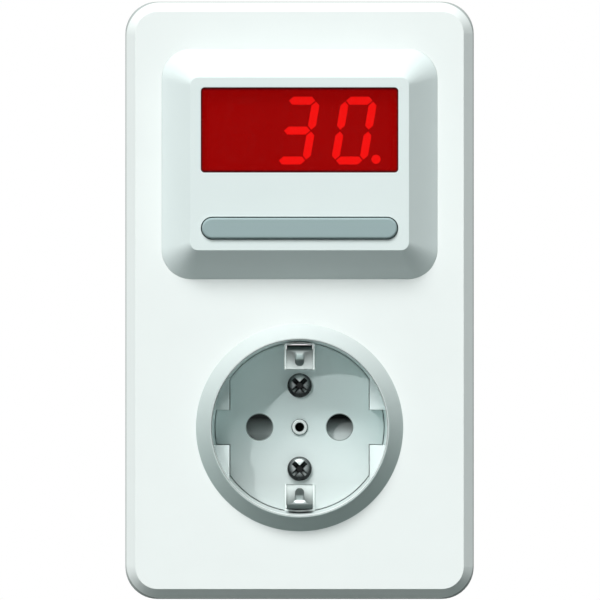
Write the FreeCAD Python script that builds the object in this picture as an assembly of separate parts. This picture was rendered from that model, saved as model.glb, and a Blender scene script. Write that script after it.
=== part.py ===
# Countdown timer outlet: a wall plate with a red three-digit timer and a push
# button above one socket outlet with side earth clips, on a steel mounting frame.
# Millimetres. X runs to the right seen from the front, the front faces -Y and Z is up.
# The origin lies on the wall plane, on the axis of the socket.
import FreeCAD, Part
import math
import os

V = FreeCAD.Vector

# Wall plate
plate_width = 82.4
plate_height = 141.3
plate_corner = 7.6
plate_chamfer = 2.4
plate_depth = 14.0
plate_wall = 2.0
socket_drop = 30.1          # from the middle of the plate down to the socket axis

# Recess of the socket, moulded with the plate
collar_mouth_d = 41.8
collar_flank = 3.6          # width of the sloping ring seen from the front
collar_height = 3.2
collar_land = 0.3
recess_depth = 17.5
recess_draft = 0.7          # how far the wall leans in from mouth to floor
recess_wall = 1.8
lip_width = 1.8
lip_thickness = 1.4
guide_block_depth = 3.6     # the four guide blocks stand this far in from the wall
guide_groove = 8.4          # space between an upper and a lower block
guide_below_rim = 6.0
guide_play = 0.15

# Socket face
face_thickness = 2.4
face_gap = 0.2
pin_pitch = 19.0
pin_hole_d = 6.2
window_width = 7.3          # opening round each earth clip
window_depth = 6.55         # from the wall of the recess inwards
liner_play = 0.05           # pressed metal liner of that opening
liner_strap_gap = 0.1
liner_rim = 0.45
liner_proud = 0.3
liner_drop = 0.5            # from the front of the face back to the liner's floor
liner_floor = 0.5
screw_rise = 9.9            # cover screws above and below the middle

# Hollow rivet and cover screws
rivet_head_d = 3.9
rivet_head = 0.6
rivet_shank_d = 3.0
rivet_bore_d = 2.1
rivet_tail = 0.6
rivet_tail_spread = 1.4     # how much wider the tail is than the shank
rivet_edge = 0.3
screw_head_d = 5.8
screw_head = 2.0
screw_rim = 0.4             # share of the head's height that is straight
screw_thread_d = 3.0
screw_hole_gap = 0.2
insert_d = 4.8
insert_length = 7.0
cross_slot = 1.05           # arms of the cross recess in the screw heads
cross_span = 4.2
cross_depth = 1.2
insert_setback = 1.0

# Safety shutter
shutter_depth = 3.2
shutter_gap = 0.3
shutter_bearing_gap = 0.08
shutter_lobe_d = 6.8
shutter_hub_d = 6.6
shutter_ramp = 2.2          # how far the ramp falls across a lobe
shutter_waist = 4.4         # width of its arm at the hub
shutter_ramp_side = 0.2     # the ramp starts this far before the lobe
shutter_ramp_hub = 0.6      # and this far out from the hub
spring_hole_d = 0.7         # holes for the legs of its spring
spring_hole_depth = 1.0
shutter_spring_d = 4.8
shutter_spring_wall = 0.4
shutter_spring_length = 1.6
shutter_spring_gap = 0.1    # at each end of the spring
spring_leg_near = 0.8       # legs into the shutter and into the base
spring_leg_far = 1.2
spring_leg_root = 0.2
spring_base_hole = 1.4

# Socket base
base_width = 45.4
base_height = 48.0
base_corner = 5.0
base_corner_trim = 4.535    # what a circle takes off each corner of the base
base_depth = 20.0
base_wall = 2.0
base_web = 2.2
base_cover = 2.0
post_d = 4.8
boss_d = 8.0
standoff_d = 3.0            # four pegs between the base and the frame
standoff_turn = 38.5
standoff_from_hole = 1.4
base_screw_d = 2.2
base_screw_head_d = 4.2
base_screw_grip = 8.0
base_screw_room = 0.5
base_screw_x = 14.5
base_screw_inset = 3.7
lower_screw_x = -6.5
lower_screw_inset = 4.5
lug_length = 6.0
lug_depth = 2.2
lug_from_front = 4.0

# Contacts, strips and terminals
sleeve_bore_d = 4.85
sleeve_wall = 0.8
sleeve_length = 12.3
sleeve_slot = 1.0
sleeve_play = 0.2
sleeve_web_gap = 0.5        # between a sleeve and the web of the base
sleeve_uncut = 1.0          # end of a sleeve that its slot leaves whole
pin_bore_gap = 1.0          # the bore of the web is this much wider than a sleeve's
cradle_wall = 1.2
strip_thickness = 0.8
strip_width = 3.0
strip_setback = 5.2         # strips lie this far in front of the base's back edge
strip_wall_gap = 0.3
supply_wall_gap = 1.5
terminal_inset_x = 8.2      # from the sides of the base
terminal_inset_z = 6.0
earth_terminal_x = 6.8
earth_terminal_inset = 4.5
terminal_tab = 6.2
earth_tab_margin = 2.5      # round the hole for the earth screw
earth_tab_rise = 2.0        # above the leg of the strap or the screw, whichever is higher
terminal_well_d = 6.6
terminal_well_wall = 1.0
terminal_screw_d = 3.0
terminal_head_d = 5.2
terminal_head = 2.1
terminal_grip = 3.5         # washer to strip, open for the supply wire
terminal_mouth_gap = 0.4    # beside the screw, in the mouth for that wire
terminal_slot_width = 0.8
terminal_slot_depth = 1.0
terminal_tail = 2.0         # of a clamp screw behind its strip
washer_thickness = 1.0
washer_d = 6.0
hold_post_d = 2.4
hold_post_reach = 5.4       # from a pin axis to the post that holds its strip

# Earth strap and its two clips
strap_width = 6.1
strap_thickness = 0.8
strap_inset = 1.2           # from the wall of the recess to the middle of a leg
strap_bend = 0.9
clip_fold = 9.8             # from the recess floor forward to the fold
clip_belly = 6.6
clip_belly_in = 2.6         # the tongue leans in from the leg by this much
clip_tip = 0.7
clip_tip_in = 4.1
tongue_width = 2.1
tongue_flare = 0.15         # how much wider the tongue is on each side at its root
tongue_margin = 0.35        # past the end of the centre line
flank_height = 0.95         # the clip narrows to its tongue over this height
strap_slot_gap = 0.25
clip_room_edge = 0.6        # room for a flexed tongue in the front of the base
clip_room_depth = 3.0

# Steel mounting frame
frame_size = 70.0           # side to side
frame_edge_gap = 3.55       # from the lower wall of the plate up to the frame
frame_corner = 5.0
frame_thickness = 1.2
frame_hole_gap = 1.5
frame_notch_side = 2.5
frame_notch_above = 2.2
box_screw_pitch = 60.0
box_slot_length = 8.0
box_slot_width = 4.2
leg_width = 14.0
leg_length = 14.2
leg_gap = 0.3               # from a leg to the side of the base
leg_tube_gap = 1.0          # and at least this from the wall of the recess
lug_gap_depth = 0.1         # round a lug in its leg
lug_gap_side = 0.2
frame_well_gap = 0.5        # round a terminal well

# Face of the timer, from top to bottom: margin, window, bare band, button, margin
window_w = 46.6
window_h = 20.1
button_w = 46.6
button_h = 5.4
bezel_side = 2.5
bezel_top_margin = 2.37
bare_band = 10.43
bezel_bottom_margin = 2.5
timer_top_gap = 11.25       # from the top edge of the plate down to the bezel

# Bezel of the timer
bezel_corner = 7.0
bezel_bevel = 6.8
bezel_flat_corner = 1.9
bezel_rise = 6.0
bezel_wall = 1.8
bezel_ledge = 3.8           # how far the bezel overlaps the plate
bezel_skirt = 3.2
bezel_skirt_wall = 1.6
bezel_play = 0.2
skirt_corner = 3.0
bezel_inside_margin = 1.0
hook_width = 8.0
hook_reach = 1.2
hook_spread = 12.0
hook_land = 0.4             # full reach of a hook, and its slope past the skirt
hook_slope = 0.6

# Red window
window_corner = 0.9
window_play = 0.1
window_inset = 0.1
window_flange = 0.8
window_flange_side = 1.3
window_flange_edge = 1.1
window_flange_corner = 1.5

# Push button
button_play = 0.25
button_travel = 0.8
button_edge = 0.5
button_flange = 1.0
button_flange_side = 0.65
button_flange_edge = 0.9
button_flange_corner = 1.2
button_behind = 0.15
button_stem_d = 4.0
button_post_d = 2.4
button_post_x = 16.5
button_post_room = 1.0      # below a post with the button pressed, besides its travel
guide_d = 5.6
guide_height = 6.9
guide_floor = 1.2
spring_d = 3.5
spring_wall = 0.4
spring_play = 0.1

# Circuit board and rear cover
board_side_gap = 2.7
board_top_gap = 0.75
board_height = 59.8
board_thickness = 1.6
board_corner = 1.5
board_standoff = 2.0
board_screw_inset = 3.0
board_screw_edge = 3.4
boss_outer_d = 5.6
case_screw_d = 2.6
case_screw_head_d = 4.6
case_screw_grip = 5.5
case_screw_room = 0.5       # left free in front of a screw's tip
case_screw_slot = 3.0
countersink_land = 0.3
slot_width = 0.6            # slots of the small screws
slot_depth = 0.5
cover_thickness = 1.5
cover_play = 0.2
cover_above_frame = 1.2
cover_below_screw = 5.4     # from the lower case screws down to the edge of the cover
cover_corner_gap = 0.6      # how much tighter its corners are than the plate's inside
lead_gap = 0.15
lead_tail = 1.2

# Display
display_side = 1.8          # inside the window's edge
display_edge = 0.55
display_depth = 7.4
display_gap = 0.2
display_corner = 0.4
digit_pitch = 13.5
digit_left = 0.6            # the three digits stand this far left of the middle,
digit_drop = 0.1            # and this far below it
digit_height = 16.0
digit_spread = 6.65
digit_stroke = 1.87
digit_gap = 0.22
digit_slant = 0.17
digit_dot_d = 2.16
dot_right = 6.5
dot_rise = 0.15
segment_proud = 0.2
display_pin_d = 0.5
display_pin_pitch = 2.54
display_pins_per_row = 6
display_row_spread = 15.24
display_pin_seat = 1.5      # how far a pin reaches into the display
socket_strip_width = 2.5
socket_strip_corner = 0.2

# Key switch on the board
switch_size = 6.2
switch_height = 3.6
switch_cover_thickness = 0.3
plunger_d = 3.4
plunger_play = 0.1
plunger_root = 1.5
stem_gap = 0.1
plunger_length = 6.0
switch_leg_d = 0.7
switch_leg_inset = 0.6
switch_floor = 0.6
switch_corner = 0.6

# Relay, between the display and the button
relay_length = 26.0
relay_side_gap = 0.35
relay_below_bezel = 1.6
relay_wall = 0.7
relay_base_height = 1.8
relay_base_play = 0.1
relay_base_corner = 0.5
relay_corner = 0.8
relay_inside_corner = 0.4
relay_pin_d = 0.9
relay_pin_end = 1.8         # pins from the ends of the case
relay_pin_side = 2.0        # and from its sides
relay_pin_step = 5.0
coil_length = 12.0
coil_d = 4.6
coil_flange = 0.8
coil_flange_rise = 0.4
yoke_thickness = 0.8
yoke_width = 5.0
yoke_base_gap = 0.3
yoke_edge_gap = 0.1         # short of the armature
yoke_foot = 3.0
yoke_side_gap = 0.4         # inside the end of the case
coil_yoke_gap = 0.2
core_d = 2.2
core_proud = 0.3
armature_gap = 0.5
armature_thickness = 0.7
armature_height = 6.0
armature_rise = 0.1         # of its foot above the back of the yoke
blade_thickness = 0.3
blade_width = 3.0
blade_headroom = 0.6
blade_foot = 1.0            # a blade starts this far above the foot of the armature
contact_d = 1.4
contact_height = 0.4
contact_stroke = 0.55
contact_gap = 0.12
contact_edge = 0.1          # from a contact to the end of its blade
fixed_blade_gap = 2.2       # between the posts of the two fixed blades
fixed_blade_headroom = 0.1

# Parts on the board
film_length = 18.0
film_side_gap = 0.5
film_lower = 0.5
film_lead_inset = 1.5
film_lead_d = 0.8
film_corner = 0.8
lead_d = 0.6                # leads of the smaller parts
lead_seat = 0.5             # how far a lead reaches into its body
row_gap = 2.0
smoothing_d = 6.3
smoothing_height = 9.2
smoothing_gap = 0.85
smoothing_lead_pitch = 2.5
groove_depth = 0.25         # crimped groove round the can
groove_width = 0.6
groove_rise = 1.3
varistor_gap = 0.5
varistor_d = 7.0
varistor_thickness = 3.4
varistor_lead_pitch = 5.0
varistor_lead_d = 0.7
varistor_standoff = 0.3
varistor_edge = 0.8
fuse_d = 8.4
fuse_front_gap = 0.7        # between the fuse and the plate in front of it
fuse_x = -24.0
fuse_lead_pitch = 5.08
top_row_edge = 7.3          # middle of the top row of parts below the board's top
diode_d = 2.7
diode_length = 5.2
resistor_d = 2.3
resistor_length = 6.3
axial_lead_bend = 0.8
axial_pitch = 10.0
axial_standoff = 0.1
axial_row_pitch = 3.4
axial_rows_in_column = 4
diode_x = -10.5
resistor_x = [4.5, 18.5]
chip_length = 10.3
chip_width = 7.5
chip_height = 2.2
chip_standoff = 0.1
chip_corner = 0.3
chip_leg_pitch = 1.27
chip_legs_per_side = 8
chip_leg_width = 0.4
chip_leg_thickness = 0.25
chip_leg_reach = 1.4
chip_leg_shoulder = 0.5     # from the chip out to where a leg turns down

# Wires from the board to the socket contacts
wire_d = 2.0
wire_core_d = 1.1
wire_x = [-9.0, -5.0, 5.0]  # supply line, switched line, neutral
wire_edge = 2.8             # above the lower edge of the board
wire_front_run = 3.6        # in front of the board
wire_above_base = 3.0
wire_before_strip = 1.1
wire_bend = 2.9
wire_entry = 8.7            # length of wire inside the base
wire_hole_gap = 0.15
barrel_below = 0.3          # how far a barrel reaches past its wire
barrel_wall = 0.5
barrel_length = 4.0

# Levels and heights that follow from the sizes above
base_round_d = math.hypot(base_width, base_height) - 2 * base_corner_trim
front_y = -plate_depth
inner_y = front_y + plate_wall
rim_y = front_y - collar_height
floor_y = rim_y + recess_depth
face_back_y = floor_y + face_thickness
base_front_y = face_back_y + lip_thickness
pocket_y = face_back_y + shutter_gap + shutter_depth + shutter_gap
web_back_y = pocket_y + base_web
base_back_y = base_front_y + base_depth
base_cover_back_y = base_back_y + base_cover
strip_y = base_back_y - strip_setback - strip_thickness
strip_back_y = base_back_y - strip_setback
recess_floor_d = collar_mouth_d - 2 * recess_draft
recess_floor_r = recess_floor_d / 2
guide_from_x = recess_floor_r - guide_block_depth
window_inner = recess_floor_r - window_depth
strap_radius = recess_floor_r - strap_inset
insert_start_y = pocket_y + insert_setback
terminal_x = base_width / 2 - terminal_inset_x
terminal_z = -base_height / 2 + terminal_inset_z
earth_terminal_z = -base_height / 2 + earth_terminal_inset
tube_r = recess_floor_r + recess_wall
frame_hole_r = tube_r + frame_hole_gap
leg_near_x = max(base_width / 2 + leg_gap, tube_r + leg_tube_gap)
leg_far_x = leg_near_x + frame_thickness
lip_r = recess_floor_r - lip_width
land_r = lip_r - face_gap
plate_mid_z = socket_drop
plate_top_z = plate_mid_z + plate_height / 2
bezel_flat_w = max(window_w, button_w) + 2 * bezel_side
bezel_flat_h = bezel_top_margin + window_h + bare_band + button_h + bezel_bottom_margin
bezel_width = bezel_flat_w + 2 * bezel_bevel
bezel_height = bezel_flat_h + 2 * bezel_bevel
timer_rise = plate_height / 2 - timer_top_gap - bezel_height / 2
timer_mid_z = plate_mid_z + timer_rise
window_mid_z = timer_mid_z + bezel_flat_h / 2 - bezel_top_margin - window_h / 2
button_mid_z = timer_mid_z - bezel_flat_h / 2 + bezel_bottom_margin + button_h / 2
display_width = window_w - 2 * display_side
display_height = window_h - 2 * display_edge
digit_mid_z = window_mid_z - digit_drop
bezel_front_y = front_y - bezel_rise
bezel_inner_y = bezel_front_y + bezel_wall
window_back_y = bezel_inner_y + window_flange
display_front_y = window_back_y + display_gap + segment_proud
display_back_y = display_front_y + display_depth
cover_inner_y = -cover_thickness
board_back_y = cover_inner_y - board_standoff
board_front_y = board_back_y - board_thickness
board_width = plate_width - 2 * plate_wall - 2 * board_side_gap
board_top_z = plate_top_z - plate_wall - board_top_gap
board_mid_z = board_top_z - board_height / 2
case_screw_low_z = board_mid_z - board_height / 2 + board_screw_edge
cover_top_z = plate_top_z - plate_wall - cover_play
cover_corner = plate_corner - plate_wall - cover_corner_gap
cover_low_z = case_screw_low_z - cover_below_screw
frame_top_z = cover_low_z - cover_above_frame
frame_low_z = plate_mid_z - plate_height / 2 + plate_wall + frame_edge_gap
lead_end_y = board_back_y + lead_tail
button_flange_y = bezel_inner_y + button_behind
button_back_y = button_flange_y + button_flange
button_flange_w = button_w + 2 * button_flange_side
button_flange_h = button_h + 2 * button_flange_edge
relay_low_z = button_mid_z + button_flange_h / 2 + relay_side_gap
relay_high_z = window_mid_z - display_height / 2 - relay_side_gap
relay_z = (relay_low_z + relay_high_z) / 2
relay_width = relay_high_z - relay_low_z
relay_height = board_front_y - bezel_inner_y - relay_below_bezel
relay_x = -(row_gap + film_length) / 2
film_x = (row_gap + relay_length) / 2
film_width = relay_width - 2 * film_side_gap
film_height = relay_height - film_lower
smoothing_x = button_post_x + guide_d / 2 + smoothing_gap + smoothing_d / 2
varistor_x = -(button_post_x + guide_d / 2 + varistor_gap + varistor_d / 2)
top_row_z = board_top_z - top_row_edge
fuse_height = board_front_y - inner_y - fuse_front_gap
wire_board_z = board_mid_z - board_height / 2 + wire_edge
wire_low_z = base_height / 2 + wire_above_base
wire_back_y = strip_y - wire_before_strip
wire_end_z = base_height / 2 - wire_entry


# Building blocks
def block(x0, x1, y0, y1, z0, z1):
    return Part.makeBox(x1 - x0, y1 - y0, z1 - z0, V(x0, y0, z0))


def rod(diameter, y0, y1, x=0.0, z=0.0):
    return Part.makeCylinder(diameter / 2, y1 - y0, V(x, y0, z), V(0, 1, 0))


def taper(diameter0, diameter1, y0, y1, x=0.0, z=0.0):
    return Part.makeCone(diameter0 / 2, diameter1 / 2, y1 - y0, V(x, y0, z), V(0, 1, 0))


def ring(outer, inner, y0, y1, x=0.0, z=0.0):
    return rod(outer, y0, y1, x, z).cut(rod(inner, y0, y1, x, z))


def rounded_wire(width, height, radius, y, x=0.0, z=0.0):
    """Upright outline of straight sides joined by quarter rounds."""
    edges = []
    first = None
    last = None
    for turn, (side_x, side_z) in enumerate([(1, 1), (-1, 1), (-1, -1), (1, -1)]):
        centre_x = x + side_x * (width / 2 - radius)
        centre_z = z + side_z * (height / 2 - radius)
        angles = [math.radians(90 * turn + step) for step in (0, 45, 90)]
        arc = [V(centre_x + radius * math.cos(a), y, centre_z + radius * math.sin(a)) for a in angles]
        if last is not None and last.distanceToPoint(arc[0]) > 1e-6:
            edges.append(Part.LineSegment(last, arc[0]).toShape())
        edges.append(Part.Arc(arc[0], arc[1], arc[2]).toShape())
        if first is None:
            first = arc[0]
        last = arc[2]
    if last.distanceToPoint(first) > 1e-6:
        edges.append(Part.LineSegment(last, first).toShape())
    return Part.Wire(edges)


def slab(width, height, radius, y0, y1, x=0.0, z=0.0):
    """Rounded rectangle from one level to another."""
    face = Part.Face(rounded_wire(width, height, radius, y0, x, z))
    return face.extrude(V(0, y1 - y0, 0))


def frustum(back, front):
    """Solid between two rounded outlines, each given as its wire."""
    return Part.makeLoft([back, front], True, True)


def sheet(points, y0, y1):
    """Flat outline of x, z points, from one level to another."""
    corners = [V(x, y0, z) for x, z in points]
    return Part.Face(Part.makePolygon(corners + corners[:1])).extrude(V(0, y1 - y0, 0))


def profile_z(points, z0, z1):
    """Outline of x, y points, from one height to another."""
    corners = [V(x, y, z0) for x, y in points]
    return Part.Face(Part.makePolygon(corners + corners[:1])).extrude(V(0, 0, z1 - z0))


def tangent_path(points, radius):
    """Straight runs through the points, joined by tangent arcs."""
    edges = []
    last = points[0]
    for before, corner, after in zip(points, points[1:], points[2:]):
        back = (before - corner).normalize()
        ahead = (after - corner).normalize()
        half = back.getAngle(ahead) / 2
        reach = radius / math.tan(half)
        start = corner + back * reach
        end = corner + ahead * reach
        inward = (back + ahead).normalize()
        middle = corner + inward * (radius / math.sin(half) - radius)
        edges.append(Part.LineSegment(last, start).toShape())
        edges.append(Part.Arc(start, middle, end).toShape())
        last = end
    edges.append(Part.LineSegment(last, points[-1]).toShape())
    return Part.Wire(edges)


def round_wire(points, bend, diameter):
    """Round wire along the points, its bends of one radius."""
    start = (points[1] - points[0]).normalize()
    section = Part.Wire(Part.Circle(points[0], start, diameter / 2).toShape())
    return tangent_path(points, bend).makePipeShell([section], True, False)


def fused(shapes):
    whole = shapes[0]
    for shape in shapes[1:]:
        whole = whole.fuse(shape)
    return whole.removeSplitter()


def without(shape, tools):
    for tool in tools:
        shape = shape.cut(tool)
    return shape


def group(shapes):
    return Part.makeCompound(shapes)


def spread_x(half):
    return [-half, half]


def half_turn(shape):
    """Copy turned half round the socket axis."""
    copy = shape.copy()
    copy.rotate(V(0, 0, 0), V(0, 1, 0), 180)
    return copy


def mirrored_z(shape):
    return shape.mirror(V(0, 0, 0), V(0, 0, 1))


# Positions shared by more than one piece
def case_screw_places():
    half_w = board_width / 2 - board_screw_inset
    half_h = board_height / 2 - board_screw_edge
    return [(x, board_mid_z + z) for x in spread_x(half_w) for z in spread_x(half_h)]


def cover_screw_places():
    return [(0.0, screw_rise), (0.0, -screw_rise)]


def terminal_places():
    return [(-terminal_x, terminal_z), (terminal_x, terminal_z), (earth_terminal_x, earth_terminal_z)]


def base_screw_places():
    top = base_height / 2 - base_screw_inset
    low = -base_height / 2 + lower_screw_inset
    return [(-base_screw_x, top), (base_screw_x, top), (lower_screw_x, low)]


def standoff_places():
    turn = math.radians(standoff_turn)
    reach = frame_hole_r + standoff_from_hole
    return [(x, z) for x in spread_x(reach * math.cos(turn)) for z in spread_x(reach * math.sin(turn))]


def display_pin_places():
    half = (display_pins_per_row - 1) / 2
    rows = [window_mid_z - display_row_spread / 2, window_mid_z + display_row_spread / 2]
    return [((i - half) * display_pin_pitch, z) for z in rows for i in range(display_pins_per_row)]


def switch_leg_places():
    reach = switch_size / 2 - switch_leg_inset
    return [(x, button_mid_z + z) for x in spread_x(reach) for z in spread_x(reach)]


def relay_pin_places():
    far = relay_length / 2 - relay_pin_end
    side = relay_width / 2 - relay_pin_side
    coil_end = [(relay_x - far, relay_z - side), (relay_x - far, relay_z + side)]
    contact_end = [(relay_x + far, relay_z - side), (relay_x + far, relay_z + side)]
    return coil_end + contact_end + [(relay_x + far - relay_pin_step, relay_z)]


def film_lead_places():
    return [(film_x + x, relay_z) for x in spread_x(film_length / 2 - film_lead_inset)]


def smoothing_lead_places():
    return [(smoothing_x + x, button_mid_z) for x in spread_x(smoothing_lead_pitch / 2)]


def varistor_lead_places():
    return [(varistor_x + x, button_mid_z) for x in spread_x(varistor_lead_pitch / 2)]


def fuse_lead_places():
    return [(fuse_x + x, top_row_z) for x in spread_x(fuse_lead_pitch / 2)]


def axial_rows():
    half = (axial_rows_in_column - 1) / 2
    return [top_row_z + (i - half) * axial_row_pitch for i in range(axial_rows_in_column)]


def diode_places():
    return [(diode_x, z) for z in axial_rows()]


def resistor_places():
    return [(x, z) for x in resistor_x for z in axial_rows()]


def axial_lead_places():
    places = diode_places() + resistor_places()
    return [(x + side, z) for x, z in places for side in spread_x(axial_pitch / 2)]


# Wall plate and timer housing
def guide_blocks(grow):
    """Four blocks at the sides of the recess, between the plug's guide grooves."""
    reach = recess_floor_r + recess_wall / 2
    disc = rod(2 * reach, rim_y + guide_below_rim, base_front_y)
    blocks = []
    for side in (-1, 1):
        for level in (-1, 1):
            x0, x1 = sorted((side * (guide_from_x - grow), side * (reach + 1)))
            z0, z1 = sorted((level * (guide_groove / 2 - grow), level * reach))
            corner = block(x0, x1, rim_y, base_front_y + 1, z0, z1)
            blocks.append(disc.common(corner))
    return blocks


def front_plate():
    """Chamfered plate with the collar, the tapered recess and its guide blocks."""
    wide = plate_width - 2 * plate_chamfer
    high = plate_height - 2 * plate_chamfer
    edge_y = front_y + plate_chamfer
    back = rounded_wire(plate_width, plate_height, plate_corner, edge_y, 0, plate_mid_z)
    front = rounded_wire(wide, high, plate_corner - plate_chamfer, front_y, 0, plate_mid_z)
    body = slab(plate_width, plate_height, plate_corner, edge_y, 0, 0, plate_mid_z)
    body = body.fuse(frustum(back, front))
    inner_w = plate_width - 2 * plate_wall
    inner_h = plate_height - 2 * plate_wall
    inner_corner = plate_corner - plate_wall
    inner_chamfer = plate_chamfer - (2 - math.sqrt(2)) * plate_wall
    inner_edge_y = inner_y + inner_chamfer
    hollow = slab(inner_w, inner_h, inner_corner, inner_edge_y, 0, 0, plate_mid_z)
    back = rounded_wire(inner_w, inner_h, inner_corner, inner_edge_y, 0, plate_mid_z)
    front = rounded_wire(
        inner_w - 2 * inner_chamfer, inner_h - 2 * inner_chamfer,
        inner_corner - inner_chamfer, inner_y, 0, plate_mid_z)
    body = body.cut(hollow.fuse(frustum(back, front)))

    land_d = collar_mouth_d + 2 * collar_land
    collar = taper(land_d, collar_mouth_d + 2 * collar_flank, rim_y, front_y)
    wall = rod(2 * tube_r, front_y, base_front_y)
    body = body.fuse(collar).fuse(wall)
    bore = taper(collar_mouth_d, recess_floor_d, rim_y, floor_y)
    seat = rod(recess_floor_d, floor_y, face_back_y)
    throat = rod(2 * lip_r, face_back_y, base_front_y)
    body = without(body, [bore, seat, throat])
    for guide in guide_blocks(0):
        body = body.fuse(guide)
    for level in (-1, 1):
        z0, z1 = sorted((level * window_inner, level * recess_floor_r))
        body = body.cut(block(-window_width / 2, window_width / 2, face_back_y, base_front_y, z0, z1))

    for x, z in case_screw_places():
        body = body.fuse(rod(boss_outer_d, inner_y, board_front_y, x, z))
        body = body.cut(rod(case_screw_d, board_front_y - case_screw_grip, board_front_y, x, z))
    opening_w = bezel_width - 2 * bezel_ledge + 2 * bezel_play
    opening_h = bezel_height - 2 * bezel_ledge + 2 * bezel_play
    opening = slab(opening_w, opening_h, skirt_corner + bezel_play, front_y, inner_y, 0, timer_mid_z)
    return body.cut(opening).removeSplitter()


def bezel_hooks():
    """Wedge hooks on the skirt that snap behind the plate."""
    skirt_x = bezel_width / 2 - bezel_ledge
    tip_y = front_y + bezel_skirt
    hooks = []
    for side in (-1, 1):
        for level in (-1, 1):
            middle = timer_mid_z + level * hook_spread
            outline = [
                (side * (skirt_x - bezel_skirt_wall), inner_y),
                (side * (skirt_x + hook_reach), inner_y),
                (side * (skirt_x + hook_reach), inner_y + hook_land),
                (side * skirt_x, tip_y + hook_slope),
                (side * (skirt_x - bezel_skirt_wall), tip_y + hook_slope),
            ]
            hooks.append(profile_z(outline, middle - hook_width / 2, middle + hook_width / 2))
    return hooks


def timer_bezel():
    """Raised housing with four sloping sides, a window and a slot for the button."""
    skirt_w = bezel_width - 2 * bezel_ledge
    skirt_h = bezel_height - 2 * bezel_ledge
    skirt_y = front_y + bezel_skirt
    back = rounded_wire(bezel_width, bezel_height, bezel_corner, front_y, 0, timer_mid_z)
    front = rounded_wire(bezel_flat_w, bezel_flat_h, bezel_flat_corner, bezel_front_y, 0, timer_mid_z)
    body = frustum(back, front)
    body = body.fuse(slab(skirt_w, skirt_h, skirt_corner, front_y, skirt_y, 0, timer_mid_z))
    room_w = skirt_w - 2 * bezel_skirt_wall
    room_h = skirt_h - 2 * bezel_skirt_wall
    room_corner = skirt_corner - bezel_skirt_wall
    room = slab(room_w, room_h, room_corner, front_y, skirt_y, 0, timer_mid_z)
    room_back = rounded_wire(room_w, room_h, room_corner, front_y, 0, timer_mid_z)
    front_w = bezel_flat_w - 2 * bezel_inside_margin
    front_h = bezel_flat_h - 2 * bezel_inside_margin
    room_front = rounded_wire(front_w, front_h, room_corner, bezel_inner_y, 0, timer_mid_z)
    body = body.cut(room.fuse(frustum(room_back, room_front)))
    window = slab(window_w, window_h, window_corner, bezel_front_y, bezel_inner_y, 0, window_mid_z)
    slot = slab(button_w, button_h, button_h / 2, bezel_front_y, bezel_inner_y, 0, button_mid_z)
    body = without(body, [window, slot])
    for hook in bezel_hooks():
        body = body.fuse(hook)
    return body.removeSplitter()


def display_window():
    """Red pane with a flange that bears on the inside of the bezel."""
    pane_w = window_w - 2 * window_play
    pane_h = window_h - 2 * window_play
    face_y = bezel_front_y + window_inset
    pane = slab(pane_w, pane_h, window_corner - window_play, face_y, bezel_inner_y, 0, window_mid_z)
    flange_w = pane_w + 2 * window_flange_side
    flange_h = pane_h + 2 * window_flange_edge
    flange = slab(flange_w, flange_h, window_flange_corner, bezel_inner_y, window_back_y, 0, window_mid_z)
    return fused([pane, flange])


def start_button():
    """Pill cap with a flange behind the bezel, a stem and two spring posts."""
    cap_w = button_w - 2 * button_play
    cap_h = button_h - 2 * button_play
    cap_y = bezel_front_y - button_travel
    cap = slab(cap_w, cap_h, cap_h / 2, cap_y, button_flange_y, 0, button_mid_z)
    rim = [edge for edge in cap.Edges if abs(edge.BoundBox.YMax - cap_y) < 1e-6]
    cap = cap.makeFillet(button_edge, rim)
    corner = button_flange_corner
    flange = slab(button_flange_w, button_flange_h, corner, button_flange_y, button_back_y, 0, button_mid_z)
    stem_end = board_front_y - switch_height - plunger_length - stem_gap
    stem = rod(button_stem_d, button_back_y, stem_end, 0, button_mid_z)
    post_end = board_front_y - guide_floor - 2 * button_travel - button_post_room
    posts = [rod(button_post_d, button_back_y, post_end, x, button_mid_z) for x in spread_x(button_post_x)]
    return fused([cap, flange, stem] + posts)


def button_guides():
    """Two cups on the board that hold the springs and steer the posts."""
    cups = []
    for x in spread_x(button_post_x):
        top_y = board_front_y - guide_height
        cup = rod(guide_d, top_y, board_front_y, x, button_mid_z)
        bore_d = spring_d + 2 * spring_play
        cups.append(cup.cut(rod(bore_d, top_y, board_front_y - guide_floor, x, button_mid_z)))
    return group(cups)


def button_springs():
    """Sleeves of the size of the two return springs."""
    springs = []
    for x in spread_x(button_post_x):
        inner_d = spring_d - 2 * spring_wall
        springs.append(ring(spring_d, inner_d, button_back_y, board_front_y - guide_floor, x, button_mid_z))
    return group(springs)


def rear_cover():
    """Flat cover behind the board, with four sleeves that press on it."""
    width = plate_width - 2 * plate_wall - 2 * cover_play
    height = cover_top_z - cover_low_z
    cover = slab(width, height, cover_corner, cover_inner_y, 0, 0, cover_low_z + height / 2)
    for x, z in case_screw_places():
        cover = cover.fuse(rod(boss_outer_d, board_back_y, cover_inner_y, x, z))
    for x, z in case_screw_places():
        cover = cover.cut(rod(case_screw_d, board_back_y, 0, x, z))
        cover = cover.cut(taper(case_screw_d, case_screw_head_d, cover_inner_y + countersink_land, 0, x, z))
    return cover.removeSplitter()


def case_screws():
    """Countersunk screws through the rear cover and the board into the plate."""
    screws = []
    for x, z in case_screw_places():
        head = taper(case_screw_d, case_screw_head_d, cover_inner_y + countersink_land, 0, x, z)
        shank = rod(case_screw_d, board_front_y - case_screw_grip + case_screw_room, 0, x, z)
        half = case_screw_slot / 2
        slot = block(x - half, x + half, -slot_depth, 0, z - slot_width / 2, z + slot_width / 2)
        screws.append(fused([head, shank]).cut(slot))
    return group(screws)


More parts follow.
